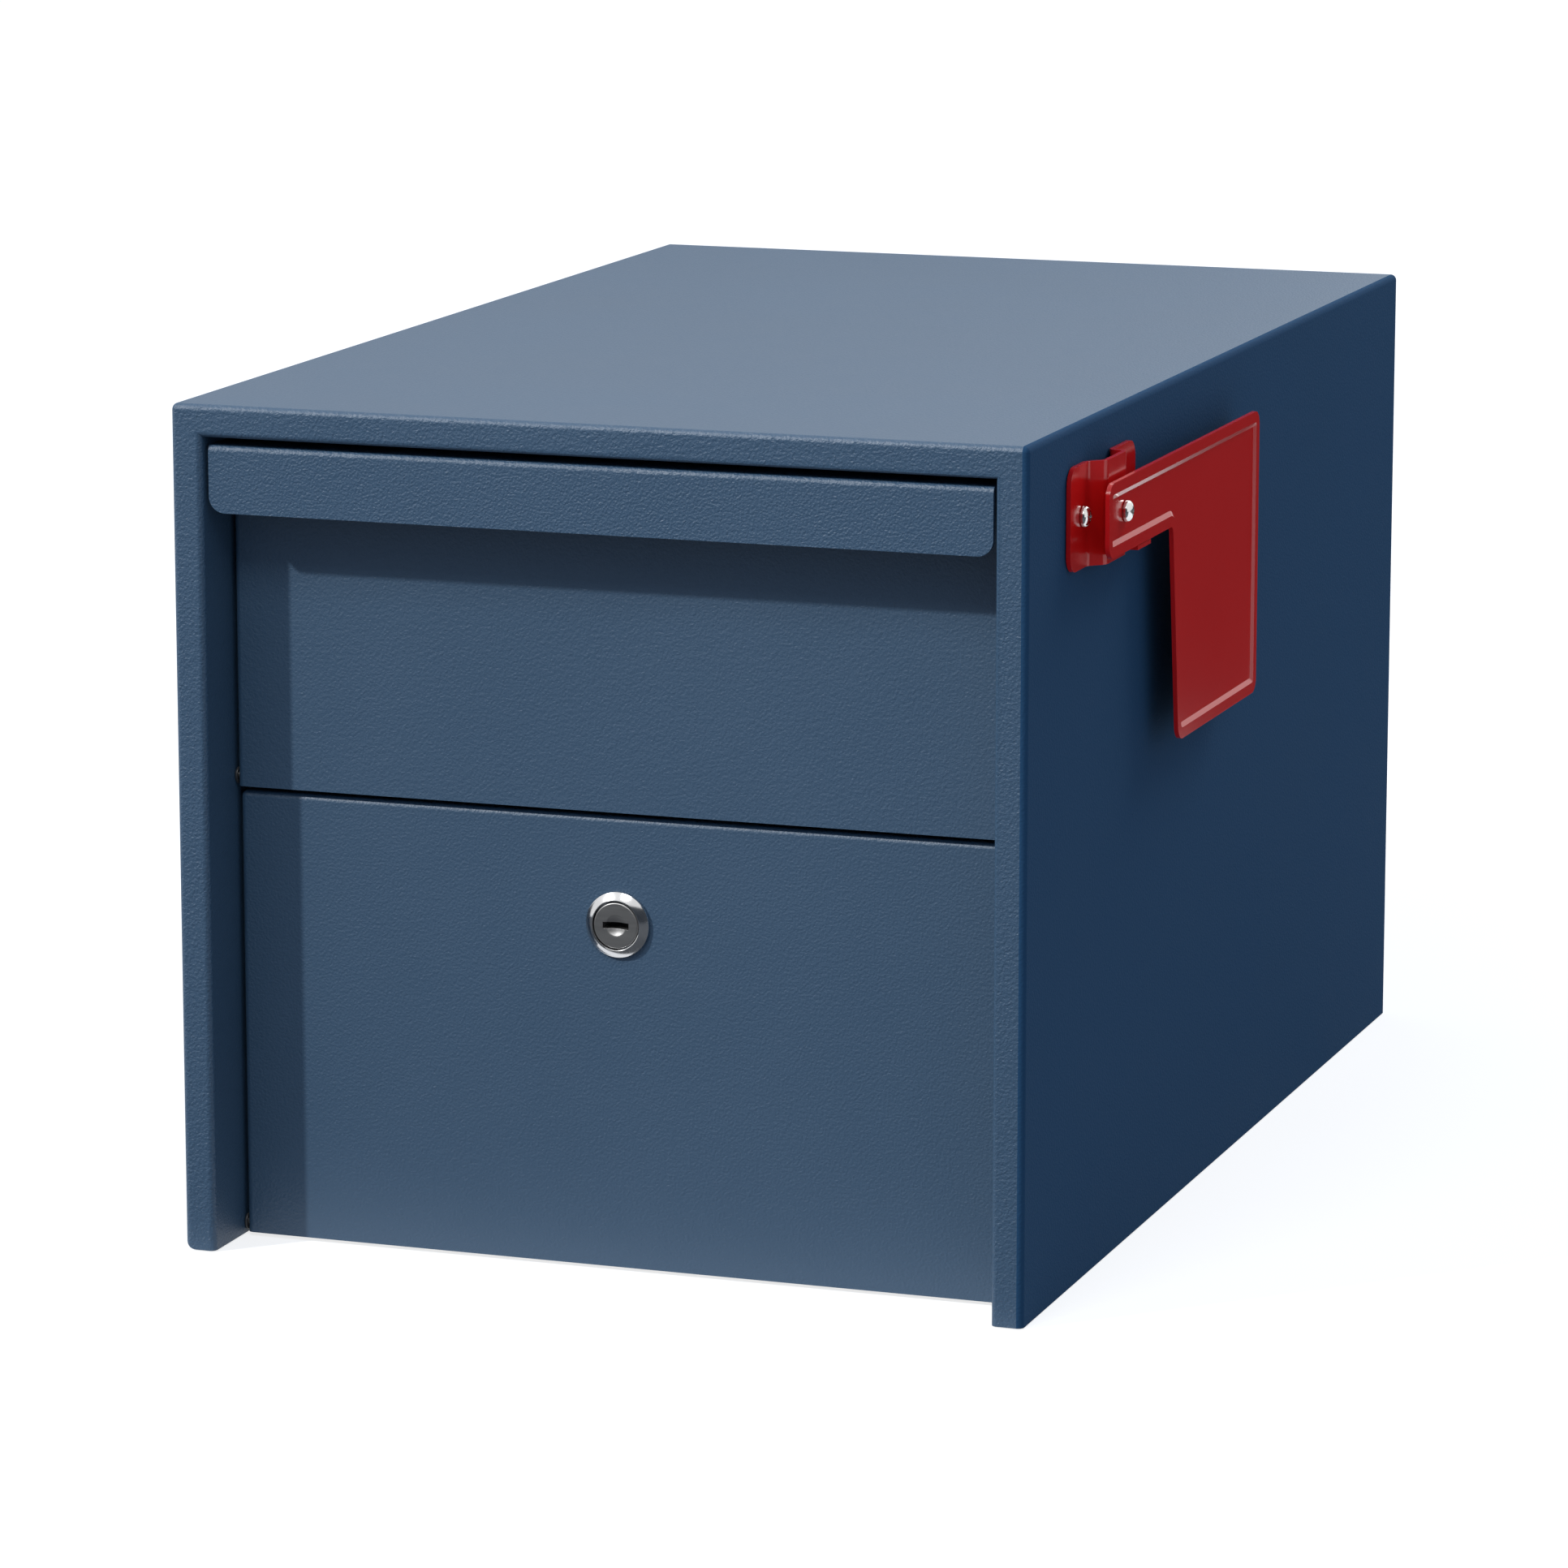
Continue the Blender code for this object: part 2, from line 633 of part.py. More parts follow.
def build_wing(pivot, side, end, paint):
    """Side plate of the hopper, welded inside the panel's flange, with a stop tab bent outwards."""
    face = MAIL_FACE + SHEET + FIT
    inner, outer = WING_X, WING_X + WING_SHEET
    low_angle = math.asin((WING_LOW - MAIL_HINGE.z) / WING_RADIUS)
    clear = ROD_R + WING_ROD_GAP
    outline = [
        (MAIL_HINGE.y + clear, WING_LOW),
        (MAIL_HINGE.y + clear, MAIL_HINGE.z + clear),
        (face, MAIL_HINGE.z + clear),
        (face, MAIL_HINGE.z + WING_FRONT_TOP),
    ]
    for step in range(2 * ARC_STEPS + 1):
        angle = WING_TOP_ANGLE + (low_angle - WING_TOP_ANGLE) * step / (2 * ARC_STEPS)
        outline.append(hopper_point(WING_RADIUS, angle))
    wing = add_piece("hopper_wing_" + end, along_x(outline, side * inner, side * outer), paint, pivot)

    tab = []
    for radius, shift in (
        (WING_RADIUS - STOP_TAB_LENGTH, 0.0),
        (WING_RADIUS - FIT, 0.0),
        (WING_RADIUS - FIT, WING_SHEET),
        (WING_RADIUS - STOP_TAB_LENGTH, WING_SHEET),
    ):
        y, z = hopper_point(radius, STOP_TAB_ANGLE)
        tab.append((y + shift * math.sin(STOP_TAB_ANGLE), z - shift * math.cos(STOP_TAB_ANGLE)))
    combine(wing, along_x(tab, side * (inner + FIT), side * (outer + STOP_TAB_REACH)), "UNION")
    for angle in rivet_angles():
        spot = Vector((0.0, *hopper_point(hopper_rivet_radius(), angle)))
        drill(wing, "X", spot, RIVET_R + FIT, side * inner - 2 * SHEET, side * inner + 2 * SHEET)


def build_hopper_plate(pivot, paint, zinc):
    """Plate that joins the wings. It keeps hands out of the throat and weighs the door shut."""
    half = WING_SHEET / 2
    end_x = WING_X - FIT
    deep = WING_RADIUS - half
    front = deep - HOPPER_PLATE_FLANGE
    channel = folded(
        [(-end_x + half, front), (-end_x + half, deep), (end_x - half, deep), (end_x - half, front)],
        WING_SHEET,
    )
    back_y, back_z = math.cos(HOPPER_PLATE_ANGLE), math.sin(HOPPER_PLATE_ANGLE)
    loops = []
    for rise in (-HOPPER_PLATE_HEIGHT / 2, HOPPER_PLATE_HEIGHT / 2):
        loop = []
        for x, out in channel:
            y = MAIL_HINGE.y + out * back_y - rise * back_z
            z = MAIL_HINGE.z + out * back_z + rise * back_y
            loop.append(Vector((x, y, z)))
        loops.append(loop)
    plate = add_piece("hopper_plate", loft(loops), paint, pivot)
    for side, end in ((-1, "left"), (1, "right")):
        for angle, level in zip(rivet_angles(), ("lower", "upper")):
            spot = Vector((0.0, *hopper_point(hopper_rivet_radius(), angle)))
            middle = side * (end_x - half)
            drill(plate, "X", spot, RIVET_R + FIT, middle - WING_SHEET, middle + WING_SHEET)
            span = sorted((side * (end_x - WING_SHEET), side * (WING_X + WING_SHEET)))
            rivet("hopper_rivet_%s_%s" % (end, level), "X", spot, *span, zinc, pivot)


def build_access_door(pivot, paint, nylon):
    """Lower door: a pan open at its foot, with hinge ears on its side flanges."""
    shape = pan(
        DOOR_X,
        ACCESS_BOTTOM,
        ACCESS_TOP,
        BEND,
        DOOR_FLANGE,
        lambda u, v, run: (u, ACCESS_FACE + run, v),
    )
    door = add_piece("access_door_panel", shape, paint, pivot)
    top = notch_top(ACCESS_HINGE)
    behind = ACCESS_FACE + 2 * DOOR_FLANGE
    under = ACCESS_BOTTOM - SHEET
    foot = box((-DOOR_X + SHEET, ACCESS_FACE + SHEET, under), (DOOR_X - SHEET, behind, top))
    combine(door, foot, "DIFFERENCE")
    notch = [(ACCESS_HINGE.y, under)] + ear(ACCESS_HINGE)
    notch += [(ACCESS_HINGE.y + EAR_R, top), (behind, top), (behind, under)]
    combine(door, along_x(notch, -DOOR_X - SHEET, DOOR_X + SHEET), "DIFFERENCE")
    drill(door, "X", ACCESS_HINGE, ROD_R + FIT, -DOOR_X - SHEET, DOOR_X + SHEET)
    drill(door, "Y", LOCK, BARREL_R + FIT, -SHEET, 2 * SHEET)
    add_spacers("access_door", ACCESS_HINGE, nylon, pivot)


def build_lock_fixed(pivot, zinc, chrome):
    """What the access door carries of the lock: reinforcing plate, barrel with bezel, and nut."""
    plate_y = SHEET + FIT
    plate_end = plate_y + LOCK_PLATE
    half_x, half_z = LOCK_PLATE_X / 2, LOCK_PLATE_Z / 2
    corners = [
        (-half_x, LOCK.z - half_z, LOCK_PLATE_CORNER),
        (half_x, LOCK.z - half_z, LOCK_PLATE_CORNER),
        (half_x, LOCK.z + half_z, LOCK_PLATE_CORNER),
        (-half_x, LOCK.z + half_z, LOCK_PLATE_CORNER),
    ]
    plate_shape = along_y(rounded(corners), LOCK.y + plate_y, LOCK.y + plate_end)
    plate = add_piece("lock_reinforcing_plate", plate_shape, zinc, pivot)
    drill(plate, "Y", LOCK, BARREL_R + FIT, 0.0, plate_end + SHEET)

    end = BARREL_END - LOCK.y
    front = -FIT - BEZEL_HEIGHT
    mouth = PLUG_FACE_R + FIT
    bore = PLUG_R + FIT
    step = front + PLUG_FACE + 2 * FIT
    barrel = [
        (mouth, front),
        (mouth + FIT, front),
        (BEZEL_R, -FIT - BEZEL_RIM),
        (BEZEL_R, -FIT),
        (BARREL_R, -FIT),
        (BARREL_R, end),
        (bore, end),
        (bore, step),
        (mouth, step),
    ]
    body = add_piece("lock_body", turned("Y", LOCK, barrel, ring=True), chrome, pivot)
    nut_y = plate_end + FIT
    for side in (-1, 1):
        flat = sorted((side * BARREL_FLAT, side * 2 * BARREL_R))
        low = (flat[0], LOCK.y + nut_y + LOCK_NUT + FIT, LOCK.z - BARREL_R)
        high = (flat[1], LOCK.y + end + SHEET, LOCK.z + BARREL_R)
        combine(body, box(low, high), "DIFFERENCE")
    hex_nut("lock_nut", "Y", LOCK, nut_y, nut_y + LOCK_NUT, LOCK_NUT_R, BARREL_R + FIT, zinc, pivot)


def build_lock_turning(pivot, chrome, zinc):
    """What the key turns: plug, cam, and the screw and washer that hold the cam on."""
    front = -BEZEL_HEIGHT
    end = CAM_FACE - LOCK.y
    step = front + PLUG_FACE
    profile = [(PLUG_FACE_R, front), (PLUG_FACE_R, step), (PLUG_R, step), (PLUG_R, end - FIT)]
    plug = add_piece("lock_plug", turned("Y", LOCK, profile), chrome, pivot)
    cam_back = CAM_FACE + CAM_SHEET
    half = TAIL / 2
    tail = box(
        (-half, CAM_FACE - SHEET, LOCK.z - half),
        (half, cam_back - FIT, LOCK.z + half),
    )
    combine(plug, tail, "UNION")
    drill(plug, "Y", LOCK, KEY_DISH_R, front - SHEET, front + KEY_DISH)
    slot = box(
        (-KEYWAY_LENGTH / 2, LOCK.y + front - SHEET, LOCK.z - KEYWAY_WIDTH / 2),
        (KEYWAY_LENGTH / 2, LOCK.y + front + KEYWAY_DEPTH, LOCK.z + KEYWAY_WIDTH / 2),
    )
    combine(plug, slot, "DIFFERENCE")
    screw_end = cam_back - LOCK.y - CAM_SCREW_LENGTH
    drill(plug, "Y", LOCK, CAM_SCREW_R + FIT, screw_end - FIT, cam_back + SHEET - LOCK.y)

    tip = CAM_WIDTH / 3
    heel = CAM_WIDTH / 2 - FIT
    wide = CAM_WIDTH / 2
    cam_outline = [
        (-CAM_HEEL, LOCK.z - wide, heel),
        (CAM_LENGTH, LOCK.z - wide, tip),
        (CAM_LENGTH, LOCK.z + wide, tip),
        (-CAM_HEEL, LOCK.z + wide, heel),
    ]
    cam = add_piece("lock_cam", along_y(rounded(cam_outline), CAM_FACE, cam_back), zinc, pivot)
    hole = half + FIT
    square = box((-hole, CAM_FACE - SHEET, LOCK.z - hole), (hole, cam_back + SHEET, LOCK.z + hole))
    combine(cam, square, "DIFFERENCE")

    seat = cam_back + FIT - LOCK.y
    over = seat + WASHER
    flat_ring("cam_washer", "Y", LOCK, seat, over, TAIL, CAM_SCREW_R + FIT, zinc, pivot)
    under_head = over + FIT
    loops = [circle("Y", LOCK, CAM_SCREW_R, run) for run in (screw_end, under_head)]
    loops += [hexagon("Y", LOCK, CAM_SCREW_HEAD_R, under_head + run) for run in (0.0, CAM_SCREW_HEAD)]
    add_piece("cam_screw", loft(loops), zinc, pivot)


def bracket_screw_places():
    """Y of the front and the rear screw that hold the flag bracket on the wall."""
    rear_start = BRACKET_START + BRACKET_FRONT_FLANGE + BRACKET_RAMP + BRACKET_CROWN + BRACKET_WEB
    return BRACKET_START + BRACKET_SCREW_INSET, rear_start + BRACKET_REAR_FLANGE / 2


def build_flag_bracket(red, zinc):
    """Hat-section bracket on the right wall, with the stop tab that the flag's arm lies on."""
    half = BRACKET_SHEET / 2
    on_wall = WALL_X + FIT + half
    crown = CROWN_X - half
    ramp = BRACKET_START + BRACKET_FRONT_FLANGE
    crown_start = ramp + BRACKET_RAMP
    crown_end = crown_start + BRACKET_CROWN
    rear_start = crown_end + BRACKET_WEB
    rear_end = rear_start + BRACKET_REAR_FLANGE
    hat = folded(
        [
            (on_wall, BRACKET_START),
            (on_wall, ramp),
            (crown, crown_start),
            (crown, crown_end),
            (on_wall, rear_start),
            (on_wall, rear_end),
        ],
        BRACKET_SHEET,
    )
    low, high = BRACKET_MID - BRACKET_HEIGHT / 2, BRACKET_MID + BRACKET_HEIGHT / 2
    bracket = add_piece("flag_bracket", along_z(hat, low, high), red)
    blank = [
        (BRACKET_START, low, BRACKET_CORNER),
        (rear_end, low, BRACKET_CORNER),
        (rear_end, high, BRACKET_CORNER),
        (BRACKET_START, high, BRACKET_CORNER),
    ]
    combine(bracket, along_x(rounded(blank), WALL_X - SHEET, RIM_FACE + SHEET), "INTERSECT")

    tab_high = FLAG_TOP - FLAG_ARM - FIT
    tab_start = PIVOT.y + FLAG_ARM - PIVOT_FROM_TOP + FIT
    tab = [
        (WALL_X + FIT, tab_start, 0.0),
        (RIM_FACE - FIT, tab_start, 0.0),
        (RIM_FACE - FIT, tab_start + FLAG_STOP_WIDTH, FLAG_STOP_CORNER),
        (WALL_X + FIT, tab_start + FLAG_STOP_WIDTH, 0.0),
    ]
    combine(bracket, along_z(rounded(tab), tab_high - BRACKET_SHEET, tab_high), "UNION")

    drill(bracket, "X", PIVOT, SCREW_R + FIT, SHEET, 2 * BRACKET_STANDOFF)
    flange_face = FIT + BRACKET_SHEET
    nut_face = -SHEET - FIT
    for y, place in zip(bracket_screw_places(), ("front", "rear")):
        spot = Vector((WALL_X, y, BRACKET_MID))
        drill(bracket, "X", spot, SCREW_R + FIT, -SHEET, flange_face + SHEET)
        screw_end = nut_face - NUT - SCREW_END
        pan_screw("flag_bracket_screw_" + place, "X", spot, flange_face + FIT, screw_end, zinc)
        nut_span = nut_face - NUT, nut_face
        hex_nut("flag_bracket_nut_" + place, "X", spot, *nut_span, NUT_R, SCREW_R + FIT, zinc)


def build_flag(pivot, red, zinc, nylon):
    """Pressed flag: a rim, a bevel and a sunken field, with the screw, washer and nut it turns on."""
    start = FRONT + FLAG_FRONT
    end = start + FLAG_LENGTH
    arm_low = FLAG_TOP - FLAG_ARM
    foot = FLAG_TOP - FLAG_DROP
    plate = end - FLAG_PLATE
    corners = [
        (start, arm_low, FLAG_CORNER),
        (plate, arm_low, FLAG_CORNER / 2),
        (plate + FLAG_TAPER, foot, FLAG_CORNER),
        (end, foot, FLAG_CORNER),
        (end, FLAG_TOP, FLAG_CORNER),
        (start, FLAG_TOP, FLAG_CORNER),
    ]
    edge = FLAG_SHEET / 3
    field = FLAG_RIM + FLAG_BEVEL
    layers = [
        (field, FIELD_FACE),
        (FLAG_RIM, RIM_FACE),
        (edge, RIM_FACE),
        (0.0, RIM_FACE - edge),
        (0.0, RIM_FACE - FLAG_SHEET),
        (FLAG_RIM, RIM_FACE - FLAG_SHEET),
        (field, FIELD_BACK),
    ]
    loops = [[Vector((x, u, v)) for u, v in rounded(inset(corners, away))] for away, x in layers]
    flag = add_piece("flag", loft(loops), red, pivot)
    drill(flag, "X", PIVOT, SCREW_R + FIT, FIELD_BACK - WALL_X - SHEET, FIELD_FACE - WALL_X + SHEET)
    crown_back = CROWN_X - BRACKET_SHEET - WALL_X
    nut_face = crown_back - FIT
    head_seat = FIELD_FACE + FIT - WALL_X
    pan_screw("flag_pivot_screw", "X", PIVOT, head_seat, nut_face - NUT - SCREW_END / 2, zinc, pivot)
    washer = CROWN_X + FIT - WALL_X, FIELD_BACK - FIT - WALL_X
    flat_ring("flag_washer", "X", PIVOT, *washer, 2 * SCREW_HEAD_R - SCREW_R, SCREW_R + FIT, nylon, pivot)
    hex_nut("flag_pivot_nut", "X", PIVOT, nut_face - NUT, nut_face, NUT_R, SCREW_R + FIT, zinc, pivot)


for old in list(bpy.data.objects):
    bpy.data.objects.remove(old, do_unlink=True)

navy_paint = make_material("navy_paint", (0.045, 0.080, 0.130), 0.0, 0.55)
red_enamel = make_material("red_enamel", (0.230, 0.010, 0.010), 0.0, 0.35)
chrome_plate = make_material("chrome_plate", (0.700, 0.700, 0.710), 1.0, 0.15)
zinc_plate = make_material("zinc_plate", (0.560, 0.570, 0.580), 1.0, 0.35)
black_rubber = make_material("black_rubber", (0.020, 0.020, 0.020), 0.0, 0.80)
black_nylon = make_material("black_nylon", (0.030, 0.030, 0.032), 0.0, 0.45)

mail_pivot = make_pivot("mail_door_pivot", MAIL_HINGE)
access_pivot = make_pivot("access_door_pivot", ACCESS_HINGE)
lock_pivot = make_pivot("lock_pivot", LOCK, access_pivot)
flag_pivot = make_pivot("flag_pivot", PIVOT)

build_body_shell(navy_paint)
build_back_panel(navy_paint)
build_floor_plate(navy_paint)
build_rail(navy_paint, zinc_plate, black_rubber)
build_hinge_rod("mail_door", MAIL_HINGE, zinc_plate)
build_hinge_rod("access_door", ACCESS_HINGE, zinc_plate)
build_mail_door(mail_pivot, navy_paint, zinc_plate, black_nylon)
build_access_door(access_pivot, navy_paint, black_nylon)
build_lock_fixed(access_pivot, zinc_plate, chrome_plate)
build_lock_turning(lock_pivot, chrome_plate, zinc_plate)
build_flag_bracket(red_enamel, zinc_plate)
build_flag(flag_pivot, red_enamel, zinc_plate, black_nylon)
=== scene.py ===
# Locking steel mailbox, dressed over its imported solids. After the camera the sections follow the box as it
# is put together: housing, rail, hinges, mail door, access door, lock and flag, then the floor and the light.
import json
import math

import bmesh
import bpy
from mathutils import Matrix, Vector


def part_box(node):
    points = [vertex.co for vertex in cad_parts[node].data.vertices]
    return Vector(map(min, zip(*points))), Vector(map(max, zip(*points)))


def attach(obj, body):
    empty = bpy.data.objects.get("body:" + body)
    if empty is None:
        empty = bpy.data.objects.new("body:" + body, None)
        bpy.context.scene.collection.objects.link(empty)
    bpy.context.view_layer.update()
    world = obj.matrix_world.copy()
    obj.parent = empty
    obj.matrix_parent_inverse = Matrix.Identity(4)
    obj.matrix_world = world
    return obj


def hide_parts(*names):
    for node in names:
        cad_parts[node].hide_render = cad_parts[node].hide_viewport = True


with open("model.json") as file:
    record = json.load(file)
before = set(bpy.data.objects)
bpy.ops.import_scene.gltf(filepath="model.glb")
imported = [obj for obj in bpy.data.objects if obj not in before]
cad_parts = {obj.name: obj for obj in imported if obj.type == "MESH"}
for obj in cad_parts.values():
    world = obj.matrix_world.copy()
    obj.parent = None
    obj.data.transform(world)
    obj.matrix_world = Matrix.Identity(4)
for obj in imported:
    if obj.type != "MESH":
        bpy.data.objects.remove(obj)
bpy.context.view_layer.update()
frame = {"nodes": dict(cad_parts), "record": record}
bpy.context.scene.view_settings.view_transform = "Standard"

# Camera. It stands in front of the box, a step to its right and a little above, with a long lens, so that
# the front, the right side and the top all show.
bpy.ops.object.select_all(action="DESELECT")
camera_place = (0.77013, -2.23644, 0.60338)
camera_dip, camera_turn = 11.4052, 19.3716
bpy.ops.object.camera_add(
    location=camera_place,
    rotation=(math.radians(90 - camera_dip), 0.0, math.radians(camera_turn)),
)
camera = bpy.context.object
camera.name = "catalogue_camera"
camera.data.sensor_width = 36.0
camera.data.lens = 153.134
bpy.context.scene.camera = camera

# Body shell. One steel sheet folded over the top and both sides. Its front edge turns in as a lip and then
# back as a return, and the whole is powder coated with a fine pebbled skin.
sheet = 0.0015
fit = 0.0003
bend, bend_steps = 0.00145, 6
sheet_edge = 0.00025
lip = 0.011
lip_return = 0.040
rod_hole = 0.0018
screw_hole = 0.0023
shell_low, shell_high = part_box("body_shell")

bodies = frame["record"]["behaviour"]["bodies"]
body_of = {node: body for body, nodes in bodies.items() for node in nodes}


def near(a, b):
    """Same place, to a hundredth of a millimetre."""
    return abs(a - b) < 1e-5


def middle(node):
    """Middle of a solid's box."""
    low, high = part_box(node)
    return (low + high) / 2


def clear():
    """Leaves edit mode and deselects everything."""
    if bpy.context.mode != "OBJECT":
        bpy.ops.object.mode_set(mode="OBJECT")
    bpy.ops.object.select_all(action="DESELECT")


def alone(piece):
    """Makes a piece the only one selected, and the active one."""
    clear()
    piece.select_set(True)
    bpy.context.view_layer.objects.active = piece


def settle(piece):
    """Puts a piece's place, turn and size into its mesh."""
    alone(piece)
    bpy.ops.object.transform_apply(location=True, rotation=True, scale=True)


def block(name, low, high):
    """Cube primitive between two opposite corners, left in edit mode."""
    clear()
    bpy.ops.mesh.primitive_cube_add(size=1.0, location=(Vector(low) + Vector(high)) / 2)
    piece = bpy.context.object
    piece.name = name
    piece.scale = Vector(high) - Vector(low)
    settle(piece)
    bpy.ops.object.mode_set(mode="EDIT")
    return piece


def pick(piece, kind, *tests):
    """In edit mode, selects only the vertices, edges or faces whose corners all pass one of the tests."""
    bpy.ops.mesh.select_mode(type=kind)
    bpy.ops.mesh.select_all(action="DESELECT")
    mesh = bmesh.from_edit_mesh(piece.data)
    items = {"VERT": mesh.verts, "EDGE": mesh.edges, "FACE": mesh.faces}[kind]
    for item in items:
        corners = [item.co] if kind == "VERT" else [corner.co for corner in item.verts]
        item.select_set(any(all(test(corner) for corner in corners) for test in tests))
    mesh.select_flush_mode()
    bmesh.update_edit_mesh(piece.data)


def line(**places):
    """Test for the corners that lie at the given x, y or z."""
    return lambda at: all(near(getattr(at, axis), place) for axis, place in places.items())


def round_off(piece, kind, radius, steps, *tests):
    """Bevels the picked edges or corners round."""
    pick(piece, kind, *tests)
    bpy.ops.mesh.bevel(offset=radius, segments=steps, affect={"EDGE": "EDGES", "VERT": "VERTICES"}[kind])


def open_up(piece, *tests):
    """Deletes the faces whose corners all pass one of the tests."""
    pick(piece, "FACE", *tests)
    bpy.ops.mesh.delete(type="FACE")


def draw_out(x, y, z):
    """Extrudes what is selected."""
    bpy.ops.mesh.extrude_region_move(TRANSFORM_OT_translate={"value": (x, y, z)})


def modify(piece, kind, **values):
    """Adds a modifier with its values and applies it."""
    alone(piece)
    modifier = piece.modifiers.new(kind.title(), kind)
    for name, value in values.items():
        setattr(modifier, name, value)
    bpy.ops.object.modifier_apply(modifier=modifier.name)


def thicken(piece, thickness):
    """Gives a folded surface its sheet thickness, half to each side."""
    modify(piece, "SOLIDIFY", thickness=thickness, offset=0.0, use_even_offset=True)
    bpy.ops.object.mode_set(mode="EDIT")
    bpy.ops.mesh.select_all(action="SELECT")
    bpy.ops.mesh.normals_make_consistent(inside=False)
    bpy.ops.object.mode_set(mode="OBJECT")


def combine(piece, tool, operation="DIFFERENCE"):
    """Cuts a shape out of a piece, or joins it on, and throws the shape away."""
    modify(piece, "BOOLEAN", operation=operation, solver="EXACT", object=tool)
    bpy.data.objects.remove(tool, do_unlink=True)


def stand_along(piece, axis, place):
    """Lays a piece that was made along Z along another axis, at its place."""
    piece.rotation_euler = {
        "X": (0.0, math.pi / 2, 0.0),
        "Y": (-math.pi / 2, 0.0, 0.0),
        "Z": (0.0, 0.0, 0.0),
    }[axis]
    piece.location = place
    settle(piece)


def turned(name, axis, place, profile, ring=False, sides=48):
    """Turned piece: a circle drawn out along an axis through (radius, run) points, as on a lathe."""
    clear()
    radius, run = profile[0]
    bpy.ops.mesh.primitive_circle_add(vertices=sides, radius=radius, location=(0.0, 0.0, run))
    piece = bpy.context.object
    piece.name = name
    settle(piece)
    bpy.ops.object.mode_set(mode="EDIT")
    bpy.ops.mesh.select_mode(type="EDGE")
    bpy.ops.mesh.select_all(action="SELECT")
    for wider, further in profile[1:] + (profile[:1] if ring else []):
        bpy.ops.mesh.extrude_edges_move(TRANSFORM_OT_translate={"value": (0.0, 0.0, further - run)})
        size = wider / radius
        bpy.ops.transform.resize(value=(size, size, 1.0), center_override=(0.0, 0.0, further))
        radius, run = wider, further
    bpy.ops.mesh.select_all(action="SELECT")
    bpy.ops.mesh.remove_doubles(threshold=1e-6)
    bpy.ops.mesh.fill_holes(sides=0)
    bpy.ops.mesh.select_all(action="SELECT")
    bpy.ops.mesh.normals_make_consistent(inside=False)
    bpy.ops.object.mode_set(mode="OBJECT")
    stand_along(piece, axis, place)
    return piece


def bore(piece, axis, place, radius, low, high):
    """Round hole through a piece."""
    combine(piece, turned("bore", axis, place, [(radius, low), (radius, high)], sides=32))


def soften(piece, width, steps=2, sharp=50):
    """Rounds the sharp edges a little, then shades the bends smooth and the flats flat."""
    modify(
        piece,
        "BEVEL",
        width=width,
        segments=steps,
        limit_method="ANGLE",
        angle_limit=math.radians(sharp),
    )
    bpy.ops.object.shade_smooth_by_angle(angle=math.radians(40))
    modify(piece, "WEIGHTED_NORMAL", keep_sharp=True, weight=80)


def dress(piece, node, *finishes):
    """Stands a finished piece in for its solid, on the same body, with the finishes given."""
    for finish in finishes:
        piece.data.materials.append(finish)
    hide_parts(node)
    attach(piece, body_of[node])


def add_node(tree, kind, place, **values):
    """Shader node at a place, with its input values set by name."""
    node = tree.nodes.new(kind)
    node.location = place
    for name, value in values.items():
        node.inputs[name].default_value = value
    return node


def add_skin(tree, group, **values):
    """Places a shared node group in a material with its own values."""
    node = add_node(tree, "ShaderNodeGroup", (-800, 0))
    node.node_tree = group
    for name, value in values.items():
        node.inputs[name].default_value = value
    return node


def new_finish(name):
    """Node material and its Principled shader."""
    finish = bpy.data.materials.new(name)
    finish.use_nodes = True
    return finish, finish.node_tree, finish.node_tree.nodes["Principled BSDF"]


pebble = bpy.data.node_groups.new("pebbled_skin", "ShaderNodeTree")
pebble.interface.new_socket("Grain", in_out="INPUT", socket_type="NodeSocketFloat")
pebble.interface.new_socket("Height", in_out="OUTPUT", socket_type="NodeSocketFloat")
pebble.interface.new_socket("Mottle", in_out="OUTPUT", socket_type="NodeSocketFloat")
pebble_in = add_node(pebble, "NodeGroupInput", (-600, 0))
pebble_out = add_node(pebble, "NodeGroupOutput", (200, 0))
pebble_place = add_node(pebble, "ShaderNodeTexCoord", (-600, 200))
grains = add_node(pebble, "ShaderNodeTexNoise", (-300, 100), Detail=1.5, Roughness=0.5, Distortion=0.2)
clouds = add_node(pebble, "ShaderNodeTexNoise", (-300, -200), Scale=14.0, Detail=3.0, Roughness=0.6)
pebble.links.new(pebble_place.outputs["Object"], grains.inputs["Vector"])
pebble.links.new(pebble_place.outputs["Object"], clouds.inputs["Vector"])
pebble.links.new(pebble_in.outputs["Grain"], grains.inputs["Scale"])
pebble.links.new(grains.outputs["Fac"], pebble_out.inputs["Height"])
pebble.links.new(clouds.outputs["Fac"], pebble_out.inputs["Mottle"])


def clouded(tree, shader, mask, height, tones, gloss, depth):
    """Lets two tones and two roughnesses cloud into each other by a mask, over a bump by a height."""
    tone = add_node(tree, "ShaderNodeMix", (-400, 250))
    tone.data_type = "RGBA"
    tone.inputs["A"].default_value = (*tones[0], 1.0)
    tone.inputs["B"].default_value = (*tones[1], 1.0)
    shine = add_node(tree, "ShaderNodeMapRange", (-400, 0))
    shine.inputs["To Min"].default_value = gloss[0]
    shine.inputs["To Max"].default_value = gloss[1]
    bump = add_node(tree, "ShaderNodeBump", (-400, -300), Strength=1.0, Distance=depth)
    tree.links.new(mask, tone.inputs["Factor"])
    tree.links.new(mask, shine.inputs["Value"])
    tree.links.new(height, bump.inputs["Height"])
    tree.links.new(tone.outputs["Result"], shader.inputs["Base Color"])
    tree.links.new(shine.outputs["Result"], shader.inputs["Roughness"])
    tree.links.new(bump.outputs["Normal"], shader.inputs["Normal"])


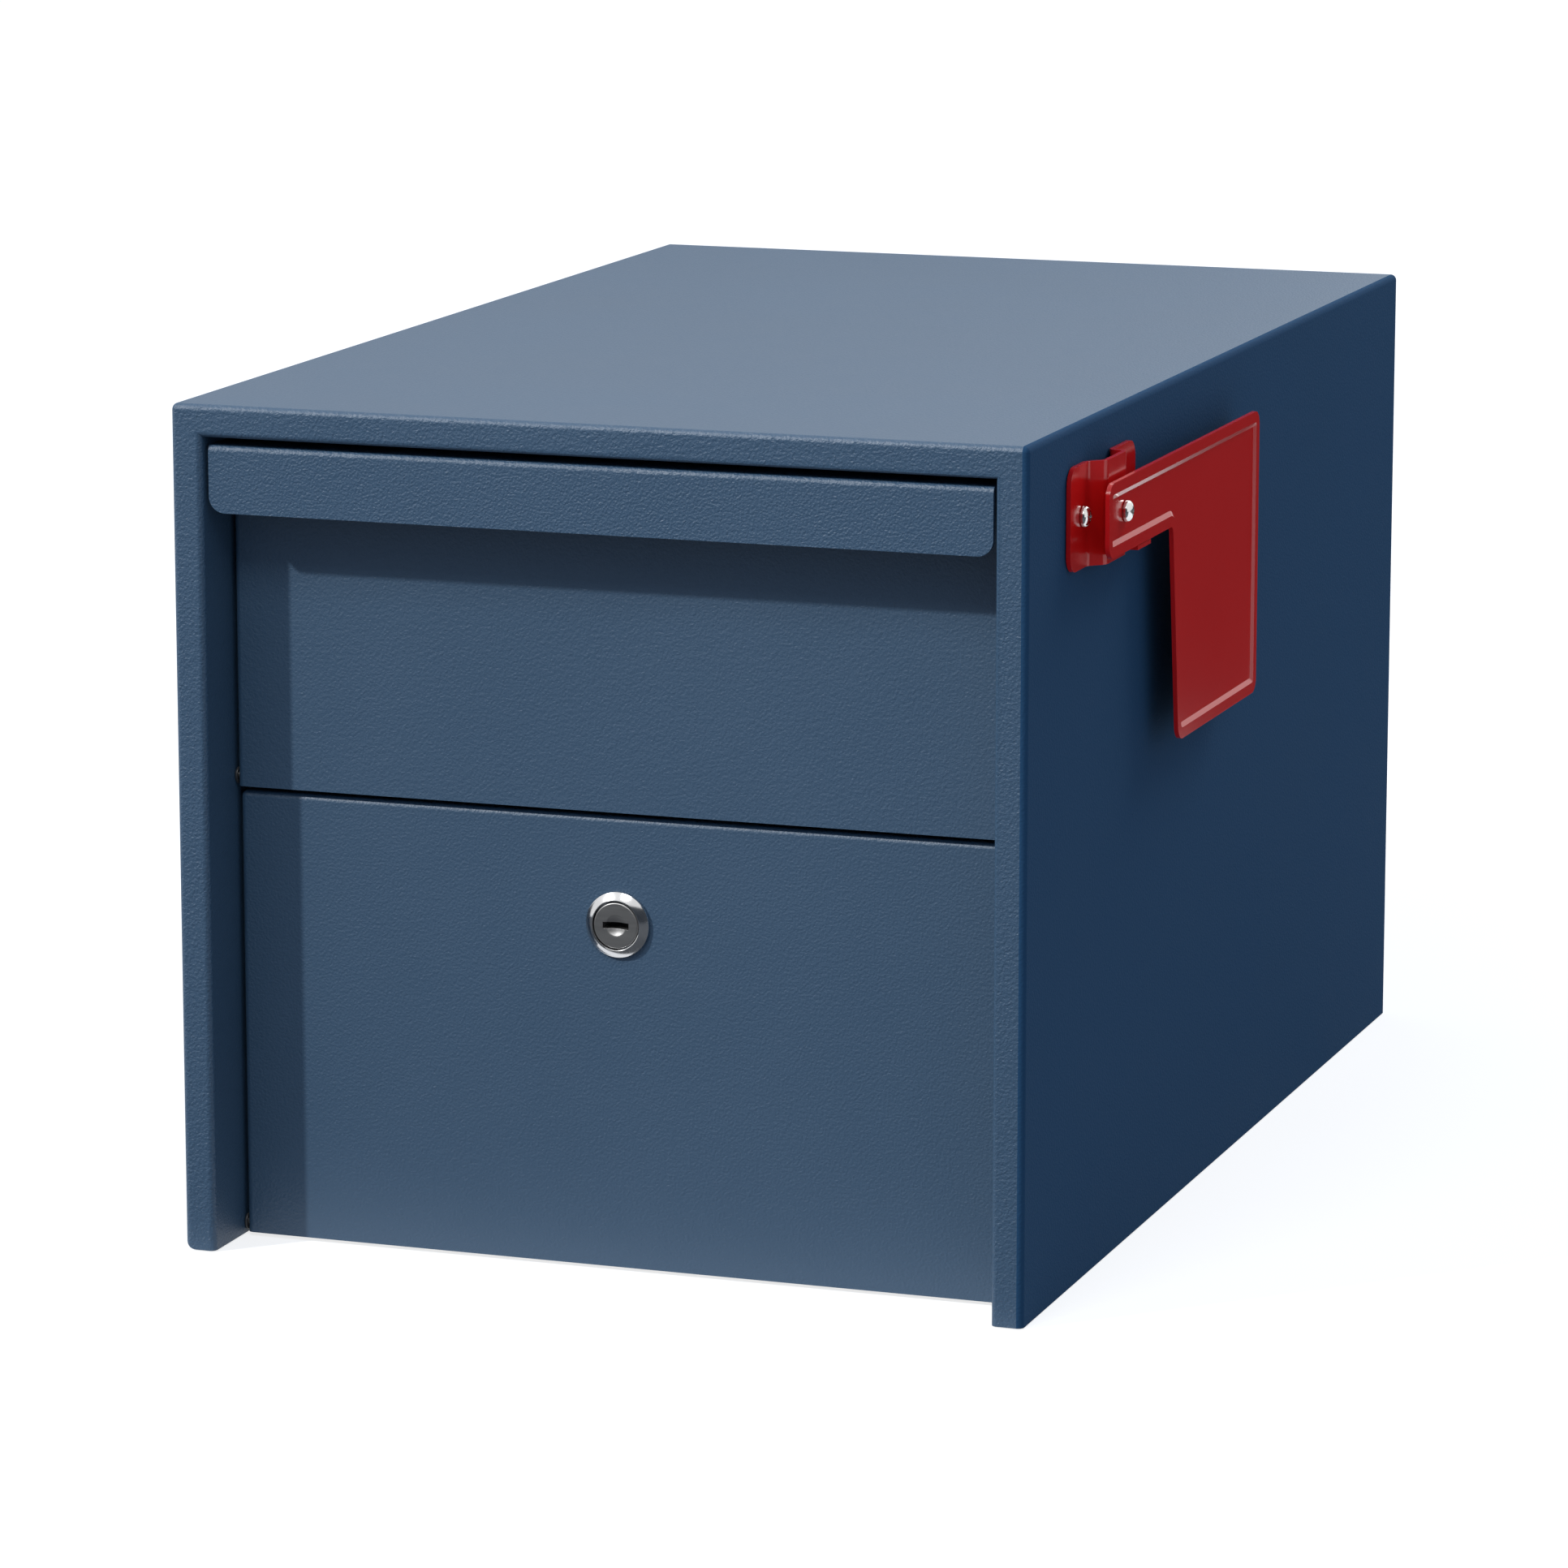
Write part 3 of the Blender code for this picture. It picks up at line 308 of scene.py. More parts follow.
def skinned(name, grain, depth, tones, gloss, specular=0.5):
    """Coated finish: two tones and two roughnesses that cloud into each other, over a pebbled bump."""
    finish, tree, shader = new_finish(name)
    skin = add_skin(tree, pebble, Grain=grain)
    clouded(tree, shader, skin.outputs["Mottle"], skin.outputs["Height"], tones, gloss, depth)
    shader.inputs["Specular IOR Level"].default_value = specular
    return finish


coat_grain = 1100.0
navy_tones = ((0.0210, 0.0595, 0.1110), (0.0255, 0.0665, 0.1210))
# The side walls' copy of the navy coat is darker and has almost no specular: painted shade, so that the walls
# read darker than the front and top under the same lamps.
shaded_side_tones = ((0.0155, 0.0500, 0.1030), (0.0195, 0.0560, 0.1130))
navy_gloss, shaded_side_gloss = (0.50, 0.58), (0.75, 0.85)
navy_paint = skinned("navy_powder_coat", coat_grain, 0.00022, navy_tones, navy_gloss, 0.85)
thick_navy = skinned("navy_powder_coat_thick", coat_grain, 0.00036, navy_tones, navy_gloss, 0.75)
shaded_side_navy = skinned("navy_powder_coat_painted_side_shade", coat_grain, 0.00015, shaded_side_tones, shaded_side_gloss, 0.04)


def recoat(piece, finish, *tests):
    """Gives the faces whose corners all pass one of the tests another finish."""
    piece.data.materials.append(finish)
    alone(piece)
    bpy.ops.object.mode_set(mode="EDIT")
    pick(piece, "FACE", *tests)
    piece.active_material_index = len(piece.data.materials) - 1
    bpy.ops.object.material_slot_assign()
    clear()


side_x = shell_high.x - sheet / 2
top_z = shell_high.z - sheet / 2
lip_y = shell_low.y + sheet / 2
inner_x = shell_high.x - lip + sheet / 2
inner_z = shell_high.z - lip + sheet / 2
return_end = shell_low.y + lip_return
shell = block("folded_shell", (-side_x, lip_y, 0.0), (side_x, shell_high.y, top_z))
open_up(shell, line(z=0.0), line(y=lip_y), line(y=shell_high.y))
pick(shell, "EDGE", line(y=lip_y))
draw_out(0.0, 0.0, 0.0)
bpy.ops.transform.resize(value=(inner_x / side_x, 1.0, inner_z / top_z), center_override=(0.0, lip_y, 0.0))
draw_out(0.0, return_end - lip_y, 0.0)
inner_bends = [line(x=-inner_x, y=lip_y), line(x=inner_x, y=lip_y), line(z=inner_z, y=lip_y)]
outer_bends = [line(x=-side_x, y=lip_y), line(x=side_x, y=lip_y), line(z=top_z, y=lip_y)]
top_bends = [line(x=-side_x, z=top_z), line(x=side_x, z=top_z)]
round_off(shell, "EDGE", bend, bend_steps, *inner_bends)
round_off(shell, "EDGE", bend, bend_steps, *outer_bends, *top_bends)
thicken(shell, sheet)
floor_low, floor_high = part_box("floor_plate")
for side in (-1, 1):
    wall = side * inner_x
    notch_low = (wall - 2 * sheet, floor_low.y - fit, -sheet)
    notch_high = (wall + 2 * sheet, return_end + sheet, floor_high.z + fit)
    combine(shell, block("return_notch", notch_low, notch_high))
    for hinge in (middle("mail_door_hinge_rod"), middle("access_door_hinge_rod")):
        bore(shell, "X", hinge, rod_hole, wall - sheet, wall + sheet)
for node in ("flag_bracket_screw_front", "flag_bracket_screw_rear"):
    spot = middle(node)
    bore(shell, "X", (0.0, spot.y, spot.z), screw_hole, shell_high.x - 2 * sheet, shell_high.x + sheet)
foot_round = 0.004
foot_low = (shell_low.x - sheet, shell_low.y - sheet, -sheet)
foot_high = (shell_low.x + foot_round, shell_low.y + foot_round, foot_round)
foot = block("foot_corner", foot_low, foot_high)
foot_at = (foot_high[0], 0.0, foot_round)
bore(foot, "Y", foot_at, foot_round, shell_low.y - 2 * sheet, foot_high[1] + sheet)
combine(shell, foot)
soften(shell, sheet_edge)
dress(shell, "body_shell", navy_paint)
recoat(shell, thick_navy, lambda at: at.y < shell_low.y + 2 * sheet)
# Both side walls take the darker, duller copy of the coat: painted shade.
wall_face = shell_high.x - 2 * sheet
recoat(shell, shaded_side_navy, lambda at: at.x > wall_face, line(x=shell_low.x))

# Back panel. A shallow pan of the same sheet and coat, folded forward on all four sides. Its flanges are
# welded inside the shell's rear edge.
back_low, back_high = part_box("back_panel")
half = sheet / 2
back = block(
    "back_pan",
    (back_low.x + half, back_low.y, back_low.z + half),
    (back_high.x - half, back_high.y - half, back_high.z - half),
)
open_up(back, line(y=back_low.y))
round_off(back, "EDGE", bend, bend_steps, line(y=back_high.y - half))
thicken(back, sheet)
soften(back, sheet_edge)
dress(back, "back_panel", navy_paint)

# Floor plate. A pan with its flanges turned up, welded between the sides. It has four holes for the bolts
# that hold the box on a post or slab, and four small ones that let rain out.
floor_pan = block(
    "floor_pan",
    (floor_low.x + half, floor_low.y + half, floor_low.z + half),
    (floor_high.x - half, floor_high.y - half, floor_high.z),
)
open_up(floor_pan, line(z=floor_high.z))
round_off(floor_pan, "EDGE", bend, bend_steps, line(z=floor_low.z + half))
thicken(floor_pan, sheet)
bolt_x, bolt_y, bolt_hole = 0.070, 0.110, 0.00425
drain_inset, drain_hole = 0.030, 0.003
for side in (-1, 1):
    for end in (-1, 1):
        bore(floor_pan, "Z", (side * bolt_x, end * bolt_y, 0.0), bolt_hole, -sheet, 2 * sheet)
        drain_y = floor_high.y - drain_inset if end > 0 else floor_low.y + drain_inset
        drain_at = (side * (floor_high.x - drain_inset), drain_y, 0.0)
        bore(floor_pan, "Z", drain_at, drain_hole, -sheet, 2 * sheet)
soften(floor_pan, sheet_edge)
dress(floor_pan, "floor_plate", navy_paint)

# Lock rail. A heavier angle across the housing behind the seam of the two doors: the lock's cam catches
# under its shelf, and the mail door's wings come to rest over it.
rail_low, rail_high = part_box("lock_rail")
rail_sheet, rail_bend, rivet_hole = 0.002, 0.0017, 0.0019
broad_edge = 0.0003
rail_y = rail_low.y + rail_sheet / 2
rail_z = rail_high.z - rail_sheet / 2
rail = block("rail_angle", (rail_low.x, rail_y, rail_low.z), (rail_high.x, rail_high.y, rail_z))
open_up(rail, line(z=rail_low.z), line(y=rail_high.y), line(x=rail_low.x), line(x=rail_high.x))
round_off(rail, "EDGE", rail_bend, bend_steps, line(y=rail_y, z=rail_z))
thicken(rail, rail_sheet)
for node in ("rail_rivet_left", "rail_rivet_right"):
    spot = middle(node)
    bore(rail, "Y", (spot.x, 0.0, spot.z), rivet_hole, rail_low.y - sheet, rail_low.y + 3 * sheet)
soften(rail, broad_edge)
dress(rail, "lock_rail", navy_paint)

# Rail brackets. Two small angles folded from the same sheet and welded to the side walls. The rail's ends
# are riveted to them.
bracket_corner, bracket_steps = 0.003, 5
for end, side in (("left", -1), ("right", 1)):
    node = "rail_bracket_" + end
    low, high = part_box(node)
    wall = high.x - half if side > 0 else low.x + half
    tip = low.x if side > 0 else high.x
    leg = low.y + half
    low_x, high_x = sorted((wall, tip))
    bracket = block("rail_angle_" + end, (low_x, leg, low.z), (high_x, high.y, high.z))
    open_up(bracket, line(z=low.z), line(z=high.z), line(y=high.y), line(x=tip))
    round_off(bracket, "EDGE", bend, bend_steps, line(x=wall, y=leg))
    round_off(bracket, "VERT", bracket_corner, bracket_steps, line(x=tip), line(y=high.y))
    thicken(bracket, sheet)
    spot = middle("rail_rivet_" + end)
    bore(bracket, "Y", (spot.x, 0.0, spot.z), rivet_hole, leg - 2 * sheet, leg + 2 * sheet)
    soften(bracket, sheet_edge)
    dress(bracket, node, navy_paint)

# Rail rivets. Zinc-plated steel, one at each end of the rail, set with a round head on each side of the rail
# and its bracket.
fine_edge = 0.0001
brushed = bpy.data.node_groups.new("drawn_metal", "ShaderNodeTree")
brushed.interface.new_socket("Stretch", in_out="INPUT", socket_type="NodeSocketVector")
brushed.interface.new_socket("Streak", in_out="OUTPUT", socket_type="NodeSocketFloat")
brushed_in = add_node(brushed, "NodeGroupInput", (-800, 0))
brushed_out = add_node(brushed, "NodeGroupOutput", (200, 0))
brushed_place = add_node(brushed, "ShaderNodeTexCoord", (-800, 200))
brushed_size = add_node(brushed, "ShaderNodeVectorMath", (-500, 100))
brushed_size.operation = "MULTIPLY"
streaks = add_node(brushed, "ShaderNodeTexNoise", (-250, 100), Scale=1.0, Detail=4.0, Roughness=0.6)
brushed.links.new(brushed_place.outputs["Object"], brushed_size.inputs[0])
brushed.links.new(brushed_in.outputs["Stretch"], brushed_size.inputs[1])
brushed.links.new(brushed_size.outputs["Vector"], streaks.inputs["Vector"])
brushed.links.new(streaks.outputs["Fac"], brushed_out.inputs["Streak"])


def plated(name, stretch, tones, gloss, depth):
    """Plated or bare metal, with streaks of tone, roughness and bump that follow a stretch in each axis."""
    finish, tree, shader = new_finish(name)
    streak = add_skin(tree, brushed, Stretch=stretch).outputs["Streak"]
    clouded(tree, shader, streak, streak, tones, gloss, depth)
    shader.inputs["Metallic"].default_value = 1.0
    return finish


zinc_tones = ((0.50, 0.51, 0.52), (0.64, 0.65, 0.66))
zinc_plate = plated("zinc_plate", (900.0, 900.0, 900.0), zinc_tones, (0.24, 0.38), 0.00002)


def round_head(radius, seat, height, steps=6):
    """Profile of a domed head from its seat to its top, as (radius, run) points."""
    side = 0.3
    points = [(radius, seat), (radius, seat + height * side)]
    for step in range(1, steps + 1):
        angle = math.radians(80) * step / steps
        points.append((radius * math.cos(angle), seat + height * (side + (1 - side) * math.sin(angle))))
    return points


def copied(piece, name, shift):
    """Copy of a finished piece with its own mesh, moved in its mesh."""
    twin = piece.copy()
    twin.data = piece.data.copy()
    twin.name = name
    for key in list(twin.keys()):
        del twin[key]
    twin.parent = None
    bpy.context.scene.collection.objects.link(twin)
    twin.location = shift
    settle(twin)
    return twin


rivet_low, rivet_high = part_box("rail_rivet_left")
rivet_at = middle("rail_rivet_left")
rivet_shank, rivet_head, rivet_rise = 0.0016, 0.003, 0.001
rivet_profile = round_head(rivet_head, rivet_low.y + rivet_rise, -rivet_rise)[::-1]
rivet_profile += [(rivet_shank, rivet_low.y + rivet_rise), (rivet_shank, rivet_high.y - rivet_rise)]
rivet_profile += round_head(rivet_head, rivet_high.y - rivet_rise, rivet_rise)
rail_rivet = turned("rail_rivet_1", "Y", (rivet_at.x, 0.0, rivet_at.z), rivet_profile, sides=32)
rail_rivet_twin = copied(rail_rivet, "rail_rivet_2", middle("rail_rivet_right") - rivet_at)
for piece, node in ((rail_rivet, "rail_rivet_left"), (rail_rivet_twin, "rail_rivet_right")):
    soften(piece, fine_edge)
    dress(piece, node, zinc_plate)

# Rubber bumpers. Two stand on the rail under the mail door's wings and two on its face behind the access
# door, glued on, to quiet both doors.
rubber_tones = ((0.012, 0.012, 0.012), (0.024, 0.024, 0.025))
black_rubber = skinned("black_rubber", 1600.0, 0.00008, rubber_tones, (0.65, 0.85))
pad_low, pad_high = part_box("mail_door_bumper_left")
pad_at = middle("mail_door_bumper_left")
pad_radius = (pad_high.x - pad_low.x) / 2
pad_profile = round_head(pad_radius, pad_low.z, pad_high.z - pad_low.z)
mail_pad = turned("mail_door_pad_1", "Z", (pad_at.x, pad_at.y, 0.0), pad_profile)
mail_pad_twin = copied(mail_pad, "mail_door_pad_2", middle("mail_door_bumper_right") - pad_at)
stop_low, stop_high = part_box("access_door_bumper_left")
stop_at = middle("access_door_bumper_left")
stop_profile = round_head(pad_radius, stop_high.y, stop_low.y - stop_high.y)
stop_pad = turned("access_door_pad_1", "Y", (stop_at.x, 0.0, stop_at.z), stop_profile)
stop_pad_twin = copied(stop_pad, "access_door_pad_2", middle("access_door_bumper_right") - stop_at)
for piece, node in (
    (mail_pad, "mail_door_bumper_left"),
    (mail_pad_twin, "mail_door_bumper_right"),
    (stop_pad, "access_door_bumper_left"),
    (stop_pad_twin, "access_door_bumper_right"),
):
    soften(piece, broad_edge)
    dress(piece, node, black_rubber)

# Hinge rods. Each door turns on a straight zinc-plated rod that runs through both returns of the shell, its
# ends chamfered, with a spring-steel retaining ring pushed on behind each return.
tip, ring_edge = 0.0005, 0.00008
drawn_zinc = plated("drawn_zinc_rod", (25.0, 1500.0, 1500.0), zinc_tones, (0.22, 0.36), 0.00002)
for door_name in ("mail_door", "access_door"):
    node = door_name + "_hinge_rod"
    low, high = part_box(node)
    hinge = middle(node)
    radius = (high.y - low.y) / 2
    rod_profile = [
        (radius - tip, low.x),
        (radius, low.x + tip),
        (radius, high.x - tip),
        (radius - tip, high.x),
    ]
    rod = turned(door_name + "_rod", "X", (0.0, hinge.y, hinge.z), rod_profile, sides=32)
    soften(rod, fine_edge)
    dress(rod, node, drawn_zinc)
    left = door_name + "_retaining_ring_left"
    low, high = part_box(left)
    ring_radius = (high.y - low.y) / 2
    dish = (high.x - low.x) / 3
    ring_profile = [
        (ring_radius, low.x + dish),
        (ring_radius, high.x),
        (ring_radius - dish, high.x),
        (radius + fit, low.x + 2 * dish),
        (radius + fit, low.x),
        (radius + 2 * fit, low.x),
    ]
    ring = turned(door_name + "_ring_1", "X", (0.0, hinge.y, hinge.z), ring_profile, ring=True, sides=32)
    other = copied(ring, door_name + "_ring_2", (0.0, 0.0, 0.0))
    alone(other)
    bpy.ops.object.mode_set(mode="EDIT")
    bpy.ops.mesh.select_all(action="SELECT")
    bpy.ops.transform.mirror(constraint_axis=(True, False, False), center_override=(0.0, 0.0, 0.0))
    bpy.ops.mesh.normals_make_consistent(inside=False)
    bpy.ops.object.mode_set(mode="OBJECT")
    for piece, node in ((ring, left), (other, door_name + "_retaining_ring_right")):
        soften(piece, ring_edge)
        dress(piece, node, zinc_plate)

# Mail door. One sheet: a panel, a shelf folded forward at its top and a handle strip folded down from that.
# Its sides fold back as flanges that end in the hinge ears.
mail_low, mail_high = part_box("mail_door_panel")
mail_hinge = middle("mail_door_hinge_rod")
door_setback, fold_drop, relief_drop = 0.022, 0.0046, 0.0023
handle_tall, handle_corner, handle_steps = 0.0228, 0.0055, 10
mail_y = shell_low.y + door_setback + half
handle_y = mail_low.y + half
handle_low = mail_high.z - handle_tall
shelf_z = mail_high.z - half
fold_x = mail_high.x - half
fold_top = mail_high.z - fold_drop
ear_radius = 0.0029
ear_notch = 0.0135
door_flange = 0.010


def fold_ears(piece, hinge, front, foot):
    """Draws a door's side flanges out above its hinge ears, and rounds the ears."""
    behind = hinge.y + ear_radius
    level = hinge.z + ear_notch
    for side in (-1, 1):
        pick(piece, "FACE", line(x=side * fold_x))
        bpy.ops.mesh.bisect(plane_co=(0.0, 0.0, level), plane_no=(0.0, 0.0, 1.0))
    pick(piece, "EDGE", lambda at: near(at.y, behind) and at.z > level - fit)
    draw_out(0.0, front + door_flange - behind, 0.0)
    round_off(piece, "VERT", ear_radius, bend_steps, line(y=behind, z=foot))


door = block("mail_door_sheet", (mail_low.x, handle_y, handle_low), (mail_high.x, mail_y, shelf_z))
open_up(door, line(z=handle_low), line(x=mail_low.x), line(x=mail_high.x))
pick(door, "VERT", line(y=mail_y, z=handle_low))
bpy.ops.transform.translate(value=(0.0, 0.0, mail_low.z - handle_low))
pick(door, "FACE", line(y=mail_y))
bpy.ops.mesh.bisect(plane_co=(0.0, 0.0, fold_top), plane_no=(0.0, 0.0, 1.0))
pick(door, "VERT", line(y=mail_y, z=fold_top), line(y=mail_y, z=mail_low.z))
bpy.ops.transform.resize(value=(fold_x / mail_high.x, 1.0, 1.0), center_override=(0.0, 0.0, 0.0))
for side in (-1, 1):
    pick(door, "EDGE", line(x=side * fold_x))
    draw_out(0.0, mail_hinge.y + ear_radius - mail_y, 0.0)
fold_ears(door, mail_hinge, mail_y - half, mail_low.z)
round_off(door, "EDGE", bend, bend_steps, line(x=-fold_x, y=mail_y), line(x=fold_x, y=mail_y))
round_off(door, "EDGE", bend, bend_steps, line(y=handle_y, z=shelf_z), line(y=mail_y, z=shelf_z))
round_off(door, "VERT", handle_corner, handle_steps, line(y=handle_y, z=handle_low))
thicken(door, sheet)
for side in (-1, 1):
    relief_x = sorted((side * (mail_high.x - 2 * sheet), side * (mail_high.x + sheet)))
    relief_low = (relief_x[0], mail_y - 2 * sheet, fold_top - fit)
    relief_high = (relief_x[1], mail_y + door_flange, mail_high.z - relief_drop)
    combine(door, block("corner_relief", relief_low, relief_high))
    bore(door, "X", (0.0, mail_hinge.y, mail_hinge.z), rod_hole, side * fold_x - sheet, side * fold_x + sheet)
soften(door, broad_edge, steps=3)
dress(door, "mail_door_panel", navy_paint)
recoat(door, thick_navy, lambda at: at.y < handle_y + 2 * sheet)

# Hinge spacers. Short moulded rings of black nylon, slipped on the rods between door and return. They keep
# each door centred.
soft_edge = 0.0002
nylon_tones = ((0.022, 0.022, 0.023), (0.036, 0.036, 0.038))
black_nylon = skinned("black_nylon", 1200.0, 0.00003, nylon_tones, (0.40, 0.52))
for door_name in ("mail_door", "access_door"):
    node = door_name + "_spacer_left"
    low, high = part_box(node)
    spot = middle(node)
    outer = (high.y - low.y) / 2
    spacer_profile = [(outer, low.x), (outer, high.x), (rod_hole, high.x), (rod_hole, low.x)]
    spacer = turned(
        door_name + "_spacer_1", "X", (0.0, spot.y, spot.z), spacer_profile, ring=True, sides=32
    )
    other_node = door_name + "_spacer_right"
    other = copied(spacer, door_name + "_spacer_2", middle(other_node) - spot)
    for piece, solid in ((spacer, node), (other, other_node)):
        soften(piece, soft_edge)
        dress(piece, solid, black_nylon)

# Hopper wings and plate. Two quadrant plates welded inside the mail door's flanges, with a stop tab bent out
# of each, and a channel riveted between them that bars the throat while the door is open.


def trimmed(node, name, edge):
    """Copy of a flat or folded solid with its triangles merged and its cut edges rounded."""
    solid = frame["nodes"][node]
    piece = copied(solid, name, (0.0, 0.0, 0.0))
    piece.data.materials.clear()
    alone(piece)
    bpy.ops.object.mode_set(mode="EDIT")
    bpy.ops.mesh.select_all(action="SELECT")
    bpy.ops.mesh.remove_doubles(threshold=2e-6)
    bpy.ops.mesh.dissolve_limited(angle_limit=math.radians(1))
    soften(piece, edge)
    return piece


for end in ("left", "right"):
    wing = trimmed("hopper_wing_" + end, "hopper_quadrant_" + end, soft_edge)
    dress(wing, "hopper_wing_" + end, navy_paint)
plate = trimmed("hopper_plate", "hopper_channel", soft_edge)
dress(plate, "hopper_plate", navy_paint)

# Hopper rivets. Four of zinc-plated steel, two through each wing and the channel's flange, set with round
# heads on both sides.
rivet_low, rivet_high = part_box("hopper_rivet_left_lower")
rivet_at = middle("hopper_rivet_left_lower")
rivet_profile = round_head(rivet_head, rivet_low.x + rivet_rise, -rivet_rise)[::-1]
rivet_profile += [(rivet_shank, rivet_low.x + rivet_rise), (rivet_shank, rivet_high.x - rivet_rise)]
rivet_profile += round_head(rivet_head, rivet_high.x - rivet_rise, rivet_rise)
hopper_rivet = turned("hopper_rivet_1", "X", (0.0, rivet_at.y, rivet_at.z), rivet_profile, sides=32)
others = ("hopper_rivet_left_upper", "hopper_rivet_right_lower", "hopper_rivet_right_upper")
rivets = [(hopper_rivet, "hopper_rivet_left_lower")]
for count, node in enumerate(others, start=2):
    rivets.append((copied(hopper_rivet, "hopper_rivet_%d" % count, middle(node) - rivet_at), node))
for piece, node in rivets:
    soften(piece, fine_edge)
    dress(piece, node, zinc_plate)

# Access door. A pan folded back at its top and sides and open at its foot, with the same hinge ears, and a
# hole for the lock.
access_low, access_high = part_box("access_door_panel")
access_hinge = middle("access_door_hinge_rod")
barrel_hole = 0.0098
access_y = access_low.y + half
access_top = access_high.z - half
ear_back = access_hinge.y + ear_radius
lower = block("access_door_sheet", (-fold_x, access_y, access_low.z), (fold_x, ear_back, access_top))
open_up(lower, line(y=ear_back), line(z=access_low.z))
fold_ears(lower, access_hinge, access_low.y, access_low.z)
front_bends = [line(x=-fold_x, y=access_y), line(x=fold_x, y=access_y), line(z=access_top, y=access_y)]
corner_bends = [line(x=-fold_x, z=access_top), line(x=fold_x, z=access_top)]
round_off(lower, "EDGE", bend, bend_steps, *front_bends, *corner_bends)
thicken(lower, sheet)
lock = Vector((0.0, access_low.y, middle("lock_body").z))
for side in (-1, 1):
    hole_from = side * fold_x - sheet
    bore(lower, "X", (0.0, access_hinge.y, access_hinge.z), rod_hole, hole_from, hole_from + 2 * sheet)
bore(lower, "Y", lock, barrel_hole, -sheet, 2 * sheet)
soften(lower, broad_edge, steps=3)
dress(lower, "access_door_panel", navy_paint)

# Reinforcing plate. A zinc-plated steel plate behind the lock, stamped with round corners. The lock's nut
# clamps it to the door.
plate_corner, plate_steps = 0.0055, 8
plate_low, plate_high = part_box("lock_reinforcing_plate")
stiffener = block("lock_stiffener", plate_low, plate_high)
corners = [line(x=x, z=z) for x in (plate_low.x, plate_high.x) for z in (plate_low.z, plate_high.z)]
round_off(stiffener, "EDGE", plate_corner, plate_steps, *corners)
bore(stiffener, "Y", lock, barrel_hole, 0.0, 4 * sheet)
soften(stiffener, broad_edge)
dress(stiffener, "lock_reinforcing_plate", zinc_plate)

# Lock body. A turned and chromed barrel with a bevelled bezel, pushed through the door from the front. Its
# thread has two flats behind the nut.
chrome_tones = ((0.62, 0.63, 0.64), (0.72, 0.72, 0.73))
chrome_plate = plated("chrome_plate", (350.0, 350.0, 350.0), chrome_tones, (0.10, 0.17), 0.000004)
bezel_radius, bezel_front, bezel_seat = 0.0112, -0.0031, -0.0003
mouth, plug_bore, plug_step = 0.0082, 0.0065, -0.0009
barrel_radius, thread_depth, thread_pitch = 0.0095, 0.0004, 0.001
flat_from, flat_to = 0.008, 0.012
barrel_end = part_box("lock_body")[1].y - lock.y
nut_low, nut_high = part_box("lock_nut")
body_profile = [
    (mouth, bezel_front + 0.0003),
    (mouth + 0.0001, bezel_front + 0.0001),
    (mouth + 0.0003, bezel_front),
    (mouth + 0.0006, bezel_front + 0.0001),
    (bezel_radius - 0.0004, bezel_seat - 0.0011),
    (bezel_radius - 0.0001, bezel_seat - 0.0009),
    (bezel_radius, bezel_seat - 0.0006),
    (bezel_radius, bezel_seat - 0.0001),
    (bezel_radius - 0.0001, bezel_seat),
    (barrel_radius, bezel_seat),
]
run = bezel_seat + thread_pitch
while run < barrel_end - thread_pitch:
    body_profile.append((barrel_radius, run))
    body_profile.append((barrel_radius - thread_depth, run + thread_pitch / 2))
    run += thread_pitch
body_profile += [
    (barrel_radius - thread_depth, barrel_end),
    (plug_bore, barrel_end),
    (plug_bore, plug_step),
    (mouth, plug_step),
]
barrel = turned("lock_barrel", "Y", lock, body_profile, ring=True, sides=72)
for side in (-1, 1):
    flat_x = sorted((side * flat_from, side * flat_to))
    flat_low = (flat_x[0], nut_high.y + fit, lock.z - flat_to)
    flat_high = (flat_x[1], lock.y + barrel_end + sheet, lock.z + flat_to)
    combine(barrel, block("barrel_flat", flat_low, flat_high))
bpy.ops.object.shade_smooth_by_angle(angle=math.radians(35))
dress(barrel, "lock_body", chrome_plate)

# Lock nut. A thin zinc-plated steel hexagon on the barrel's thread, which draws the bezel against the
# door.


def hexagon(name, axis, place, radius, low, high, hole):
    """Hexagon nut or head between two runs along its axis, its corners turned down, with a round hole."""
    clear()
    tall = high - low
    bpy.ops.mesh.primitive_cylinder_add(
        vertices=6, radius=radius, depth=tall, location=(0.0, 0.0, (low + high) / 2)
    )
    piece = bpy.context.object
    piece.name = name
    piece.rotation_euler.z = math.radians(30) if axis == "Y" else 0.0
    settle(piece)
    stand_along(piece, axis, place)
    across = radius * math.cos(math.radians(30))
    chamfer_share = 0.6
    lead = (radius - across) * chamfer_share
    cone = [(across, low), (radius, low + lead), (radius, high - lead), (across, high)]
    combine(piece, turned("corner_cone", axis, place, cone, sides=72), "INTERSECT")
    if hole:
        bore(piece, axis, place, hole, low - sheet, high + sheet)
    corner_edge = 0.00012
    soften(piece, corner_edge, sharp=25)
    return piece


lock_hex = 0.0135
nut_span = nut_low.y - lock.y, nut_high.y - lock.y
lock_nut = hexagon("barrel_nut", "Y", lock, lock_hex, *nut_span, barrel_hole)
dress(lock_nut, "lock_nut", zinc_plate)

